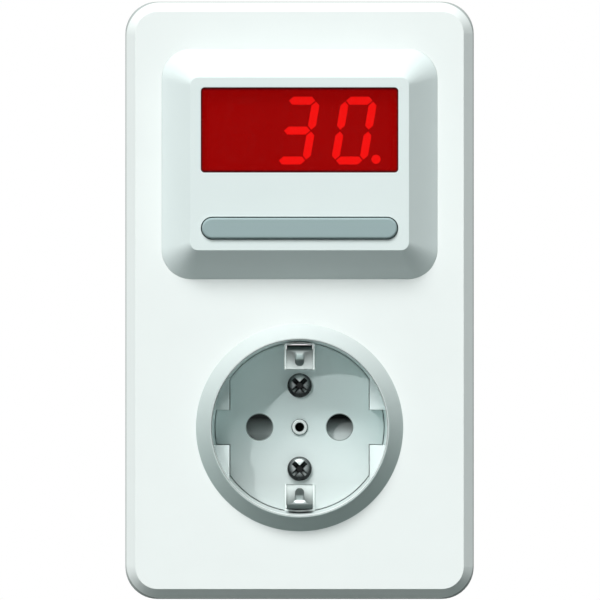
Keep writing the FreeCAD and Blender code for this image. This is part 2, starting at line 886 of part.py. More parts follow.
# Display
def segment(u0, v0, u1, v1):
    """One bar with pointed ends, from end point to end point, before it is slanted."""
    length = math.hypot(u1 - u0, v1 - v0)
    du = (u1 - u0) / length
    dv = (v1 - v0) / length
    half = digit_stroke / 2
    outline = []
    for along, across in [(digit_gap, 0), (digit_gap + half, half), (length - digit_gap - half, half),
                          (length - digit_gap, 0), (length - digit_gap - half, -half),
                          (digit_gap + half, -half)]:
        outline.append((u0 + along * du - across * dv, v0 + along * dv + across * du))
    return outline


def digit_segments():
    """The seven bars a to g of a digit, about its middle."""
    side = digit_spread / 2
    top = (digit_height - digit_stroke) / 2
    return {
        "a": segment(-side, top, side, top),
        "b": segment(side, top, side, 0),
        "c": segment(side, 0, side, -top),
        "d": segment(side, -top, -side, -top),
        "e": segment(-side, -top, -side, 0),
        "f": segment(-side, 0, -side, top),
        "g": segment(-side, 0, side, 0),
    }


def display_bars(cells):
    """Raised bars for each digit cell: its place and the bars and dot to make."""
    bars = []
    bar_y = display_front_y - segment_proud
    for cell, names in cells:
        middle = cell * digit_pitch - digit_left
        for name, outline in digit_segments().items():
            if name in names:
                slanted = [(middle + u + digit_slant * v, digit_mid_z + v) for u, v in outline]
                bars.append(sheet(slanted, bar_y, display_front_y))
        if "." in names:
            dot_z = digit_mid_z - (digit_height - digit_dot_d) / 2 + dot_rise
            dot_x = middle + dot_right - digit_slant * digit_height / 2
            bars.append(rod(digit_dot_d, bar_y, display_front_y, dot_x, dot_z))
    return group(bars)


def lit_segments():
    return display_bars([(0, "abcdg"), (1, "abcdef.")])


def dark_segments():
    return display_bars([(-1, "abcdefg."), (0, "ef."), (1, "g")])


def display_block():
    front_y = display_front_y
    body = slab(display_width, display_height, display_corner, front_y, display_back_y, 0, window_mid_z)
    seat_y = display_back_y - display_pin_seat
    holes = [rod(display_pin_d, seat_y, display_back_y, x, z) for x, z in display_pin_places()]
    return without(body, holes)


def display_sockets():
    """Two strips between the display and the board."""
    length = display_pins_per_row * display_pin_pitch
    strips = []
    for level in (-1, 1):
        z = window_mid_z + level * display_row_spread / 2
        strip = slab(length, socket_strip_width, socket_strip_corner, display_back_y, board_front_y, 0, z)
        row = [(x, pin_z) for x, pin_z in display_pin_places() if level * (pin_z - window_mid_z) > 0]
        holes = [rod(display_pin_d, display_back_y, board_front_y, x, pin_z) for x, pin_z in row]
        strips.append(without(strip, holes))
    return group(strips)


def display_pins():
    start_y = display_back_y - display_pin_seat
    return group([rod(display_pin_d, start_y, lead_end_y, x, z) for x, z in display_pin_places()])


# Key switch
def key_switch():
    top_y = board_front_y - switch_height + switch_cover_thickness
    body = slab(switch_size, switch_size, switch_corner, top_y, board_front_y, 0, button_mid_z)
    well_d = plunger_d + 2 * plunger_play
    body = body.cut(rod(well_d, top_y, board_front_y - switch_floor, 0, button_mid_z))
    return fused([body] + leads(switch_leg_places(), switch_leg_d, board_front_y - lead_seat))


def switch_cover():
    top_y = board_front_y - switch_height
    back_y = top_y + switch_cover_thickness
    plate = slab(switch_size, switch_size, switch_corner, top_y, back_y, 0, button_mid_z)
    hole_d = plunger_d + 2 * plunger_play
    return plate.cut(rod(hole_d, top_y, top_y + switch_cover_thickness, 0, button_mid_z))


def switch_plunger():
    """Long plunger of the key switch, moved by the stem of the button."""
    tip_y = board_front_y - switch_height - plunger_length
    root_y = board_front_y - plunger_root
    return rod(plunger_d, tip_y, root_y, 0, button_mid_z)


# Relay
def relay_levels():
    """Depth levels inside the relay: base top, yoke top, coil middle and core middle."""
    base_top = board_front_y - relay_base_height
    yoke_top = base_top - yoke_base_gap - yoke_thickness
    coil_y = yoke_top - coil_yoke_gap - coil_d / 2 - coil_flange_rise
    return base_top, yoke_top, coil_y


def coil_left():
    return relay_x - relay_length / 2 + relay_wall + yoke_side_gap + yoke_thickness


def relay_base():
    length = relay_length - 2 * relay_wall - 2 * relay_base_play
    width = relay_width - 2 * relay_wall - 2 * relay_base_play
    base_top = board_front_y - relay_base_height
    base = slab(length, width, relay_base_corner, base_top, board_front_y, relay_x, relay_z)
    return fused([base] + leads(relay_pin_places(), relay_pin_d, board_front_y))


def relay_case():
    top_y = board_front_y - relay_height
    case = slab(relay_length, relay_width, relay_corner, top_y, board_front_y, relay_x, relay_z)
    inside_l = relay_length - 2 * relay_wall
    inside_w = relay_width - 2 * relay_wall
    roof_y = top_y + relay_wall
    return case.cut(slab(inside_l, inside_w, relay_inside_corner, roof_y, board_front_y, relay_x, relay_z))


def rod_x(diameter, x0, x1, y, z):
    return Part.makeCylinder(diameter / 2, x1 - x0, V(x0, y, z), V(1, 0, 0))


def relay_coil():
    """Bobbin with its winding, bored for the core."""
    base_top, yoke_top, coil_y = relay_levels()
    left = coil_left()
    right = left + coil_length
    flange_d = coil_d + 2 * coil_flange_rise
    parts = [
        rod_x(coil_d, left, right, coil_y, relay_z),
        rod_x(flange_d, left, left + coil_flange, coil_y, relay_z),
        rod_x(flange_d, right - coil_flange, right, coil_y, relay_z),
    ]
    return fused(parts).cut(rod_x(core_d, left, right, coil_y, relay_z))


def relay_yoke():
    """Iron circuit: a plate under the coil, an upright at its end and the core."""
    base_top, yoke_top, coil_y = relay_levels()
    left = coil_left()
    right = left + coil_length
    z0 = relay_z - yoke_width / 2
    z1 = relay_z + yoke_width / 2
    edge_x = armature_x() - yoke_edge_gap
    under = block(left - yoke_thickness, edge_x, yoke_top, yoke_top + yoke_thickness, z0, z1)
    upright = block(left - yoke_thickness, left, coil_y - coil_d / 2, yoke_top + yoke_thickness, z0, z1)
    core = rod_x(core_d, left - yoke_thickness, right + core_proud, coil_y, relay_z)
    foot = block(left, left + yoke_foot, yoke_top + yoke_thickness, base_top, z0, z1)
    return fused([under, upright, core, foot])


def armature_x():
    """Face of the armature at rest, towards the core."""
    return coil_left() + coil_length + core_proud + armature_gap


def relay_armature():
    """Rocking iron plate with the moving contact blade on its back."""
    base_top, yoke_top, coil_y = relay_levels()
    x = armature_x()
    foot_y = yoke_top + yoke_thickness - armature_rise
    z0 = relay_z - yoke_width / 2
    z1 = relay_z + yoke_width / 2
    plate = block(x, x + armature_thickness, foot_y - armature_height, foot_y, z0, z1)
    blade_x = x + armature_thickness
    top_y = board_front_y - relay_height + relay_wall + blade_headroom
    b0 = relay_z - blade_width / 2
    b1 = relay_z + blade_width / 2
    blade = block(blade_x, blade_x + blade_thickness, top_y, foot_y - blade_foot, b0, b1)
    contact_y = top_y + contact_d / 2 + contact_edge
    studs = rod_x(contact_d, blade_x - contact_height, blade_x + blade_thickness + contact_height,
                  contact_y, relay_z)
    return fused([plate, blade, studs])


def relay_contacts():
    """Two fixed blades: one rests beside the moving blade, one reaches over it."""
    base_top, yoke_top, coil_y = relay_levels()
    blade_x = armature_x() + armature_thickness
    top_y = board_front_y - relay_height + relay_wall
    contact_y = top_y + blade_headroom + contact_d / 2 + contact_edge
    b0 = relay_z - blade_width / 2
    b1 = relay_z + blade_width / 2
    rest_x = blade_x + blade_thickness + contact_height + contact_gap
    rest_blade = block(rest_x + contact_height, rest_x + contact_height + blade_thickness,
                       contact_y - contact_d / 2, base_top, b0, b1)
    rest_stud = rod_x(contact_d, rest_x, rest_x + contact_height, contact_y, relay_z)
    make_x = blade_x - contact_height - contact_stroke - contact_gap
    post_x = rest_x + contact_height + fixed_blade_gap
    over_y = top_y + fixed_blade_headroom
    over = block(make_x - contact_height - blade_thickness, post_x + blade_thickness,
                 over_y, over_y + blade_thickness, b0, b1)
    post = block(post_x, post_x + blade_thickness, over_y, base_top, b0, b1)
    drop = block(make_x - contact_height - blade_thickness, make_x - contact_height,
                 over_y, contact_y + contact_d / 2, b0, b1)
    make_stud = rod_x(contact_d, make_x - contact_height, make_x, contact_y, relay_z)
    return group([fused([rest_blade, rest_stud]), fused([over, post, drop, make_stud])])


# Other parts on the board
def leads(places, diameter, from_y):
    return [rod(diameter, from_y, lead_end_y, x, z) for x, z in places]


def film_capacitor():
    top_y = board_front_y - film_height
    case = slab(film_length, film_width, film_corner, top_y, board_front_y, film_x, relay_z)
    return fused([case] + leads(film_lead_places(), film_lead_d, board_front_y - lead_seat))


def smoothing_capacitor():
    """Round aluminium can with a crimped groove near its foot."""
    can = rod(smoothing_d, board_front_y - smoothing_height, board_front_y, smoothing_x, button_mid_z)
    groove_y = board_front_y - groove_rise
    groove = ring(smoothing_d + 1, smoothing_d - 2 * groove_depth, groove_y - groove_width, groove_y,
                  smoothing_x, button_mid_z)
    return fused([can.cut(groove)] + leads(smoothing_lead_places(), lead_d, board_front_y - lead_seat))


def varistor():
    """Coated disc that stands on edge."""
    middle_y = board_front_y - varistor_d / 2 - varistor_standoff
    disc = Part.makeCylinder(varistor_d / 2, varistor_thickness,
                             V(varistor_x, middle_y, button_mid_z - varistor_thickness / 2), V(0, 0, 1))
    disc = disc.makeFillet(varistor_edge, [edge for edge in disc.Edges if edge.Length > varistor_d])
    return fused([disc] + leads(varistor_lead_places(), varistor_lead_d, middle_y))


def fuse():
    body = rod(fuse_d, board_front_y - fuse_height, board_front_y, fuse_x, top_row_z)
    return fused([body] + leads(fuse_lead_places(), lead_d, board_front_y - lead_seat))


def axial_part(x, z, diameter, length):
    """Small round body lying on the board, with its two leads bent down."""
    body_y = board_front_y - diameter / 2 - axial_standoff
    reach = axial_pitch / 2
    body = rod_x(diameter, x - length / 2, x + length / 2, body_y, z)
    points = [V(x - reach, lead_end_y, z), V(x - reach, body_y, z), V(x + reach, body_y, z),
              V(x + reach, lead_end_y, z)]
    return fused([body, round_wire(points, axial_lead_bend, lead_d)])


def rectifier_diodes():
    return group([axial_part(x, z, diode_d, diode_length) for x, z in diode_places()])


def resistors():
    return group([axial_part(x, z, resistor_d, resistor_length) for x, z in resistor_places()])


def microcontroller():
    top_y = board_front_y - chip_standoff - chip_height
    return slab(chip_length, chip_width, chip_corner, top_y, board_front_y - chip_standoff, 0, window_mid_z)


def controller_legs():
    """Gull-wing legs along both long sides of the chip."""
    half = (chip_legs_per_side - 1) / 2
    middle_y = board_front_y - chip_standoff - chip_height / 2
    t = chip_leg_thickness
    legs = []
    for side in (-1, 1):
        start = chip_width / 2
        turn = start + chip_leg_shoulder
        end = start + chip_leg_reach
        profile = [(start, middle_y), (turn, middle_y), (turn, board_front_y - t),
                   (end, board_front_y - t), (end, board_front_y), (turn - t, board_front_y),
                   (turn - t, middle_y + t), (start, middle_y + t)]
        for i in range(chip_legs_per_side):
            x0 = (i - half) * chip_leg_pitch - chip_leg_width / 2
            corners = [V(x0, y, window_mid_z + side * out) for out, y in profile]
            face = Part.Face(Part.makePolygon(corners + corners[:1]))
            legs.append(face.extrude(V(chip_leg_width, 0, 0)))
    return group(legs)


def circuit_board():
    board = slab(board_width, board_height, board_corner, board_front_y, board_back_y, 0, board_mid_z)
    for x, z in case_screw_places():
        board = board.cut(rod(case_screw_d, board_front_y, board_back_y, x, z))
    rows = [
        (display_pin_d, display_pin_places()),
        (switch_leg_d, switch_leg_places()),
        (varistor_lead_d, varistor_lead_places()),
        (relay_pin_d, relay_pin_places()),
        (film_lead_d, film_lead_places()),
        (lead_d, smoothing_lead_places() + fuse_lead_places() + axial_lead_places()),
        (wire_core_d, [(x, wire_board_z) for x in wire_x]),
    ]
    for diameter, places in rows:
        for x, z in places:
            board = board.cut(rod(diameter + 2 * lead_gap, board_front_y, board_back_y, x, z))
    return board


def wire(x):
    """Insulated wire from the board, down behind the plate and back into the base."""
    run_y = board_front_y - wire_front_run
    points = [
        V(x, board_front_y, wire_board_z),
        V(x, run_y, wire_board_z),
        V(x, run_y, wire_low_z),
        V(x, wire_back_y, wire_low_z),
        V(x, wire_back_y, wire_end_z),
    ]
    length = tangent_path(points, wire_bend).Length
    body = round_wire(points, wire_bend, wire_d)
    expected = math.pi * wire_d ** 2 / 4 * length
    print("wire at", x, "volume", round(body.Volume, 2), "section times length", round(expected, 2))
    core = rod(wire_core_d, board_front_y, lead_end_y, x, wire_board_z)
    return fused([body, core])


# Socket insert
def socket_face():
    """Floor of the recess, with holes for pins, screws, clips and guide blocks."""
    disc = rod(recess_floor_d - 2 * face_gap, floor_y, face_back_y)
    tools = [rod(pin_hole_d, floor_y, face_back_y, x, 0) for x in spread_x(pin_pitch / 2)]
    for x, z in cover_screw_places():
        tools.append(rod(screw_thread_d + 2 * screw_hole_gap, floor_y, face_back_y, x, z))
    tools.append(rod(rivet_shank_d + 2 * screw_hole_gap, floor_y, face_back_y))
    for level in (-1, 1):
        z0, z1 = sorted((level * window_inner, level * (recess_floor_r + 1)))
        tools.append(block(-window_width / 2, window_width / 2, floor_y, face_back_y, z0, z1))
    return without(disc, tools + guide_blocks(guide_play))


def clip_liners():
    """Liners of the two earth openings: walls beside and beyond each clip, and a floor behind its tongue."""
    outer_r = recess_floor_r - liner_play
    outer_x = window_width / 2 - liner_play
    inner_x = strap_width / 2 + liner_strap_gap
    y0 = floor_y - liner_proud
    liners = []
    for level in (-1, 1):
        z0, z1 = sorted((level * window_inner, level * recess_floor_r))
        body = block(-outer_x, outer_x, y0, face_back_y, z0, z1)
        body = body.common(rod(2 * outer_r, y0, face_back_y))
        room = block(-inner_x, inner_x, y0, face_back_y, min(z0, -z1), max(z1, -z0))
        walls = body.cut(room.common(rod(2 * (outer_r - liner_rim), y0, face_back_y)))
        leg_face = strap_radius - strap_thickness / 2 - liner_strap_gap
        z0, z1 = sorted((level * (window_inner + liner_play), level * leg_face))
        floor = block(-inner_x, inner_x, floor_y + liner_drop, floor_y + liner_drop + liner_floor, z0, z1)
        liners.append(fused([walls, floor]))
    return group(liners)


def central_rivet():
    """Hollow rivet: flat head on the floor, shank, and a tail spread behind the web."""
    head = rod(rivet_head_d, floor_y - rivet_head, floor_y)
    rim = [edge for edge in head.Edges if abs(edge.BoundBox.YMax - floor_y + rivet_head) < 1e-6]
    head = head.makeFillet(rivet_edge, rim)
    shank = rod(rivet_shank_d, floor_y, web_back_y + rivet_tail)
    tail = rod(rivet_shank_d + rivet_tail_spread, web_back_y, web_back_y + rivet_tail)
    return fused([head, shank, tail]).cut(rod(rivet_bore_d, floor_y - rivet_head, web_back_y + rivet_tail))


def cover_screw(x, z):
    """Pan-head screw with a cross recess, turned a half right angle."""
    rise = screw_head * screw_rim
    edge_y = floor_y - rise
    top_y = floor_y - screw_head
    radius = screw_head_d / 2
    ball = (radius ** 2 + (edge_y - top_y) ** 2) / (2 * (edge_y - top_y))
    middle_x = radius / 2
    middle_y = top_y + ball - math.sqrt(ball ** 2 - middle_x ** 2)
    dome = Part.Arc(V(0, top_y, 0), V(middle_x, middle_y, 0), V(radius, edge_y, 0)).toShape()
    side = Part.LineSegment(V(radius, edge_y, 0), V(radius, floor_y, 0)).toShape()
    foot = Part.LineSegment(V(radius, floor_y, 0), V(0, floor_y, 0)).toShape()
    axis = Part.LineSegment(V(0, floor_y, 0), V(0, top_y, 0)).toShape()
    head = Part.Face(Part.Wire([dome, side, foot, axis])).revolve(V(0, 0, 0), V(0, 1, 0), 360)
    half = cross_slot / 2
    for angle in (45, 135):
        cut = block(-cross_span / 2, cross_span / 2, top_y - 1, top_y + cross_depth, -half, half)
        cut.rotate(V(0, 0, 0), V(0, 1, 0), angle)
        head = head.cut(cut)
    head.translate(V(x, 0, z))
    shank = rod(screw_thread_d, floor_y, insert_start_y + insert_length, x, z)
    return fused([head, shank])


def cover_screws():
    return group([cover_screw(x, z) for x, z in cover_screw_places()])


def threaded_inserts():
    """Brass bushes in the base for the two cover screws."""
    end_y = insert_start_y + insert_length
    places = cover_screw_places()
    return group([ring(insert_d, screw_thread_d, insert_start_y, end_y, x, z) for x, z in places])


def safety_shutter():
    """Turning blind behind the pin holes, with a ramp on each lobe for the pins."""
    y0 = face_back_y + shutter_gap
    y1 = y0 + shutter_depth
    reach = pin_pitch / 2
    hub = rod(shutter_hub_d, y0, y1)
    lobe = rod(shutter_lobe_d, y0, y1, reach, 0)
    arm = block(0, reach, y0, y1, -shutter_lobe_d / 2, shutter_lobe_d / 2)
    for side in (-1, 1):
        wide = side * shutter_lobe_d
        flank = [(1, wide), (1, side * shutter_waist / 2), (reach, wide / 2), (reach, wide)]
        arm = arm.cut(sheet(flank, y0, y1))
    half = fused([lobe, arm])
    far = shutter_lobe_d / 2 + shutter_ramp_side
    near_x = shutter_hub_d / 2 + shutter_ramp_hub
    wedge = [V(near_x, y0, -far), V(near_x, y0 - 1, -far), V(near_x, y0 - 1, far),
             V(near_x, y0 + shutter_ramp, far)]
    ramp = Part.Face(Part.makePolygon(wedge + wedge[:1])).extrude(V(pin_pitch, 0, 0))
    half = half.cut(ramp)
    body = fused([hub, half, half_turn(half)])
    bore = rod(rivet_shank_d + 2 * shutter_bearing_gap, y0, y1)
    seat = rod(shutter_spring_d + 2 * spring_play, y1 - shutter_spring_length, y1)
    leg_hole = rod(spring_hole_d, y1 - shutter_spring_length - spring_hole_depth, y1, spring_leg_x(), 0)
    return without(body, [bore, seat, leg_hole]).removeSplitter()


def spring_leg_x():
    return (shutter_spring_d - shutter_spring_wall) / 2


def shutter_spring():
    """Torsion spring round the rivet, one leg in the shutter and one in the base."""
    end_y = pocket_y - shutter_spring_gap
    start_y = face_back_y + shutter_gap + shutter_depth - shutter_spring_length + shutter_spring_gap
    coil = ring(shutter_spring_d, shutter_spring_d - 2 * shutter_spring_wall, start_y, end_y)
    near = rod(shutter_spring_wall, start_y - spring_leg_near, start_y + spring_leg_root, spring_leg_x(), 0)
    far = rod(shutter_spring_wall, end_y - spring_leg_root, end_y + spring_leg_far, -spring_leg_x(), 0)
    return fused([coil, near, far])


def base_outline(inset, y0, y1):
    """Outline of the base, drawn in by an inset: a rounded block within a circle."""
    width = base_width - 2 * inset
    height = base_height - 2 * inset
    body = slab(width, height, base_corner - inset, y0, y1)
    return body.common(rod(base_round_d - 2 * inset, y0, y1))


def strap_slots(y0, y1, bend_room=0.0):
    """Slots that the two legs of the earth strap pass through."""
    half = strap_width / 2 + strap_slot_gap
    room = strap_thickness / 2 + strap_slot_gap
    slots = []
    for level in (-1, 1):
        z0, z1 = sorted((level * (strap_radius - room - bend_room), level * (strap_radius + room)))
        slots.append(block(-half, half, y0, y1, z0, z1))
    return slots


def socket_base():
    """Moulded base with the shutter pocket, the contact wells and the terminal wells."""
    body = base_outline(0, base_front_y, base_back_y)
    body = body.cut(base_outline(base_wall, web_back_y, base_back_y))
    land = rod(2 * land_r, face_back_y, base_front_y)
    body = body.fuse(without(land, guide_blocks(guide_play)))
    cradle_in = sleeve_bore_d + 2 * sleeve_wall + 2 * sleeve_play
    cradle_out = cradle_in + 2 * cradle_wall
    well_out = terminal_well_d + 2 * terminal_well_wall
    screw_boss_d = base_screw_d + 2 * cradle_wall
    for x in spread_x(pin_pitch / 2):
        body = body.fuse(rod(cradle_out, web_back_y, strip_y, x, 0))
    for x, z in terminal_places():
        well = rod(well_out, web_back_y, strip_y, x, z)
        body = body.fuse(well.common(base_outline(0, web_back_y, strip_y)))
    for x, z in base_screw_places():
        post = rod(screw_boss_d, web_back_y, base_back_y, x, z)
        body = body.fuse(post.common(base_outline(0, web_back_y, base_back_y)))
    for x, z in cover_screw_places():
        body = body.fuse(rod(boss_d, web_back_y, insert_start_y + insert_length, x, z))
    pocket_d = pin_pitch + shutter_lobe_d + 2 * shutter_gap
    body = body.cut(rod(pocket_d, face_back_y, pocket_y))
    for x, z in cover_screw_places():
        body = body.fuse(rod(post_d, face_back_y, pocket_y, x, z))
        body = body.cut(rod(screw_thread_d + 2 * screw_hole_gap, face_back_y, insert_start_y, x, z))
        body = body.cut(rod(insert_d, insert_start_y, insert_start_y + insert_length, x, z))
    for x in spread_x(pin_pitch / 2):
        body = body.cut(rod(sleeve_bore_d + pin_bore_gap, pocket_y, web_back_y, x, 0))
        body = body.cut(rod(cradle_in, web_back_y, strip_y, x, 0))
    for x, z in terminal_places():
        body = body.cut(rod(terminal_well_d, base_front_y, strip_y, x, z))
        half = terminal_screw_d / 2 + terminal_mouth_gap
        mouth = block(x - half, x + half, strip_y - terminal_grip, strip_y, -base_height / 2, z)
        body = body.cut(mouth)
    for x, z in base_screw_places():
        body = body.cut(rod(base_screw_d, base_back_y - base_screw_grip - base_screw_room, base_back_y, x, z))
    for level in (-1, 1):
        z0, z1 = sorted((level * (window_inner + clip_room_edge), level * recess_floor_r))
        room_y = face_back_y + clip_room_depth
        body = body.cut(block(-window_width / 2, window_width / 2, face_back_y, room_y, z0, z1))
    body = without(body, strap_slots(face_back_y, base_back_y))
    body = body.cut(rod(rivet_shank_d, pocket_y, web_back_y))
    body = body.cut(rod(spring_hole_d, pocket_y, pocket_y + spring_base_hole, -spring_leg_x(), 0))
    for x in wire_x:
        foot = V(x, wire_back_y, base_height / 2 - base_wall - 1)
        body = body.cut(Part.makeCylinder(wire_d / 2 + wire_hole_gap, base_wall + 2, foot, V(0, 0, 1)))
    for x, z in standoff_places():
        body = body.fuse(rod(standoff_d, 0, base_front_y, x, z))
    lug_y = base_front_y + lug_from_front
    for side in (-1, 1):
        x0, x1 = sorted((side * (base_width / 2 - base_wall / 2), side * leg_far_x))
        body = body.fuse(block(x0, x1, lug_y, lug_y + lug_depth, -lug_length / 2, lug_length / 2))
    return body.removeSplitter()


def base_rear_cover():
    """Back of the base, with posts that hold the strips down."""
    cover = base_outline(0, base_back_y, base_cover_back_y)
    pin_x = pin_pitch / 2
    places = [(-pin_x, hold_post_reach), (pin_x, hold_post_reach), (pin_x, -hold_post_reach), (supply_x(), 0)]
    for x, z in places:
        cover = cover.fuse(rod(hold_post_d, strip_back_y, base_back_y, x, z))
    cover = without(cover, strap_slots(base_back_y, base_cover_back_y, strap_bend))
    for x, z in base_screw_places():
        cover = cover.cut(rod(base_screw_d, base_back_y, base_cover_back_y, x, z))
        cover = cover.cut(base_screw_head(x, z))
    return cover.removeSplitter()


def base_screw_head(x, z):
    rise = (base_screw_head_d - base_screw_d) / 2
    return taper(base_screw_d, base_screw_head_d, base_cover_back_y - rise, base_cover_back_y, x, z)


def base_screws():
    screws = []
    for x, z in base_screw_places():
        shank = rod(base_screw_d, base_back_y - base_screw_grip, base_cover_back_y, x, z)
        half = base_screw_head_d / 3
        slot_y = base_cover_back_y - slot_depth
        slot = block(x - half, x + half, slot_y, base_cover_back_y, z - slot_width / 2, z + slot_width / 2)
        screws.append(fused([base_screw_head(x, z), shank]).cut(slot))
    return group(screws)


def inside_base(shape):
    """Trims a strip so that it clears the walls of the base."""
    return shape.common(base_outline(base_wall + strip_wall_gap, base_front_y, base_back_y))


def wire_barrel(x):
    """Crimp barrel at the end of a strip, round the end of a wire."""
    outer = wire_d / 2 + barrel_wall
    base = V(x, wire_back_y, wire_end_z - barrel_below)
    barrel = Part.makeCylinder(outer, barrel_length, base, V(0, 0, 1))
    return barrel


def barrel_bore(x):
    return Part.makeCylinder(wire_d / 2, barrel_length, V(x, wire_back_y, wire_end_z), V(0, 0, 1))


def contact_sleeve(x):
    """Slotted spring sleeve for one plug pin."""
    outer = sleeve_bore_d + 2 * sleeve_wall
    y0 = web_back_y + sleeve_web_gap
    sleeve = rod(outer, y0, y0 + sleeve_length, x, 0)
    bore = rod(sleeve_bore_d, y0, y0 + sleeve_length, x, 0)
    side = 1 if x > 0 else -1
    x0, x1 = sorted((x, x - side * outer))
    slot = block(x0, x1, y0, strip_y - sleeve_uncut, -sleeve_slot / 2, sleeve_slot / 2)
    return sleeve, [bore, slot]


def screw_hole(place):
    x, z = place
    return rod(terminal_screw_d, strip_y, strip_back_y, x, z)


def ribbon(points):
    """Flat strip of the strip width along a line of x, z points, with mitred corners."""
    runs = [(V(b[0] - a[0], 0, b[1] - a[1])).normalize() for a, b in zip(points, points[1:])]
    near = []
    far = []
    for i, (x, z) in enumerate(points):
        before = runs[max(i - 1, 0)]
        after = runs[min(i, len(runs) - 1)]
        side = V(-before.z - after.z, 0, before.x + after.x)
        shift = side * (strip_width / 2 / (1 + before.dot(after)))
        near.append((x + shift.x, z + shift.z))
        far.append((x - shift.x, z - shift.z))
    return sheet(near + far[::-1], strip_y, strip_back_y)


def stepped(x0, z0, x1, z1):
    """Points from one place to another at another side: straight, slanted, straight."""
    middle = (z0 + z1) / 2
    slant = math.copysign(abs(x1 - x0) / 2, z1 - z0)
    return [(x0, z0), (x0, middle - slant), (x1, middle + slant), (x1, z1)]


def barrel_end(x):
    """Crimp barrel round the end of a wire, with the web that joins it to its strip."""
    half = strip_width / 4
    web = block(x - half, x + half, wire_back_y, strip_y, wire_end_z, wire_end_z + strip_width)
    return [web, wire_barrel(x)]


def terminal_pad(place):
    x, z = place
    half = terminal_tab / 2
    return block(x - half, x + half, strip_y, strip_back_y, z - half, z + half)


def line_contact():
    """Left pin sleeve with a strip up to the switched wire."""
    x = -pin_pitch / 2
    sleeve, tools = contact_sleeve(x)
    rise = (sleeve_bore_d + sleeve_wall) / 2
    strip = ribbon(stepped(x, rise, wire_x[1], wire_end_z + strip_width))
    return without(fused([sleeve, strip] + barrel_end(wire_x[1])), tools + [barrel_bore(wire_x[1])])


def neutral_contact():
    """Right pin sleeve with a strip up to its wire and down to its terminal."""
    x = pin_pitch / 2
    sleeve, tools = contact_sleeve(x)
    rise = (sleeve_bore_d + sleeve_wall) / 2
    up = ribbon(stepped(x, rise, wire_x[2], wire_end_z + strip_width))
    place = terminal_places()[1]
    down = ribbon(stepped(x, -rise, place[0], place[1]))
    pad = terminal_pad(place)
    body = without(fused([sleeve, up, down, pad] + barrel_end(wire_x[2])), tools + [barrel_bore(wire_x[2])])
    return inside_base(body).cut(screw_hole(place))


def supply_x():
    """Middle of the strip that runs up the left side of the base."""
    return -base_width / 2 + base_wall + supply_wall_gap + strip_width / 2


def supply_strip():
    """Strip from the line terminal up the side of the base to the timer's supply wire."""
    place = terminal_places()[0]
    top = wire_end_z + strip_width / 3
    strip = ribbon([place, (supply_x(), place[1] + terminal_tab), (supply_x(), top), (wire_x[0] + 1, top)])
    body = fused([strip, terminal_pad(place)] + barrel_end(wire_x[0])).cut(barrel_bore(wire_x[0]))
    return inside_base(body).cut(screw_hole(place))


def clip_path():
    """Centre line of the earth strap: tongue, fold, leg, back bar, and the same again."""
    back_y = base_cover_back_y + strap_thickness / 2
    upper = [
        V(0, floor_y - clip_tip, strap_radius - clip_tip_in),
        V(0, floor_y - clip_belly, strap_radius - clip_belly_in),
        V(0, floor_y - clip_fold, strap_radius),
        V(0, back_y, strap_radius),
    ]
    lower = [V(0, point.y, -point.z) for point in reversed(upper)]
    return upper + lower


def tongue_trim():
    """What is cut from the upper clip to leave its narrow rounded tongue."""
    half = tongue_width / 2
    y0 = floor_y - clip_fold - 2
    y1 = floor_y + 1
    tip = strap_radius - clip_tip_in - strap_thickness
    full = strap_width / 2 + 0.1
    bar = strap_radius - strap_thickness
    root = half + tongue_flare
    flank = full - root
    outline = [(half, tip - 1), (half, tip + tongue_margin + half), (root, bar - flank_height),
               (root + 0.08 * flank, bar - 0.6 * flank_height),
               (root + 0.25 * flank, bar - 0.3 * flank_height),
               (root + 0.5 * flank, bar - 0.1 * flank_height), (full, bar), (full, tip - 1)]
    tools = []
    for side in (-1, 1):
        tools.append(sheet([(side * x, z) for x, z in outline], y0, y1))
    end = block(-half, half, y0, y1, tip - 1, tip + tongue_margin + half)
    tools.append(end.cut(rod(tongue_width, y0, y1, 0, tip + tongue_margin + half)))
    return tools


def earth_strap():
    """One bent strip: a bar across the back and a spring clip above and below."""
    points = clip_path()
    path = tangent_path(points, strap_bend)
    ahead = (points[1] - points[0]).normalize()
    across = V(0, -ahead.z, ahead.y) * (strap_thickness / 2)
    wide = V(strap_width / 2, 0, 0)
    corners = [points[0] - wide - across, points[0] + wide - across,
               points[0] + wide + across, points[0] - wide + across]
    section = Part.makePolygon(corners + corners[:1])
    body = path.makePipeShell([section], True, True)
    for tool in tongue_trim():
        body = body.cut(tool).cut(mirrored_z(tool))
    near = strap_width / 2 - strap_thickness
    far = earth_terminal_x + terminal_tab / 2
    low = min(earth_terminal_z, -strap_radius) - earth_tab_margin
    high = max(earth_terminal_z, -strap_radius) + earth_tab_rise
    tab = block(near, far, strip_y, strip_back_y, low, high)
    outer_face = -strap_radius - strap_thickness / 2
    tab = tab.cut(block(near, near + strap_thickness, strip_y, strip_back_y, low, outer_face))
    body = body.fuse(inside_base(tab)).cut(screw_hole(terminal_places()[2]))
    return body.removeSplitter()


def terminal_screws():
    """Slotted clamp screws, turned from the front."""
    screws = []
    head_back = strip_y - terminal_grip - washer_thickness
    for x, z in terminal_places():
        head = rod(terminal_head_d, head_back - terminal_head, head_back, x, z)
        half_l = terminal_head_d / 2 + 1
        half_w = terminal_slot_width / 2
        top_y = head_back - terminal_head
        slot = block(x - half_l, x + half_l, top_y, top_y + terminal_slot_depth, z - half_w, z + half_w)
        shank = rod(terminal_screw_d, head_back, strip_back_y + terminal_tail, x, z)
        screws.append(fused([head.cut(slot), shank]))
    return group(screws)


def clamp_washers():
    start = strip_y - terminal_grip - washer_thickness
    return group([ring(washer_d, terminal_screw_d, start, start + washer_thickness, x, z)
                  for x, z in terminal_places()])


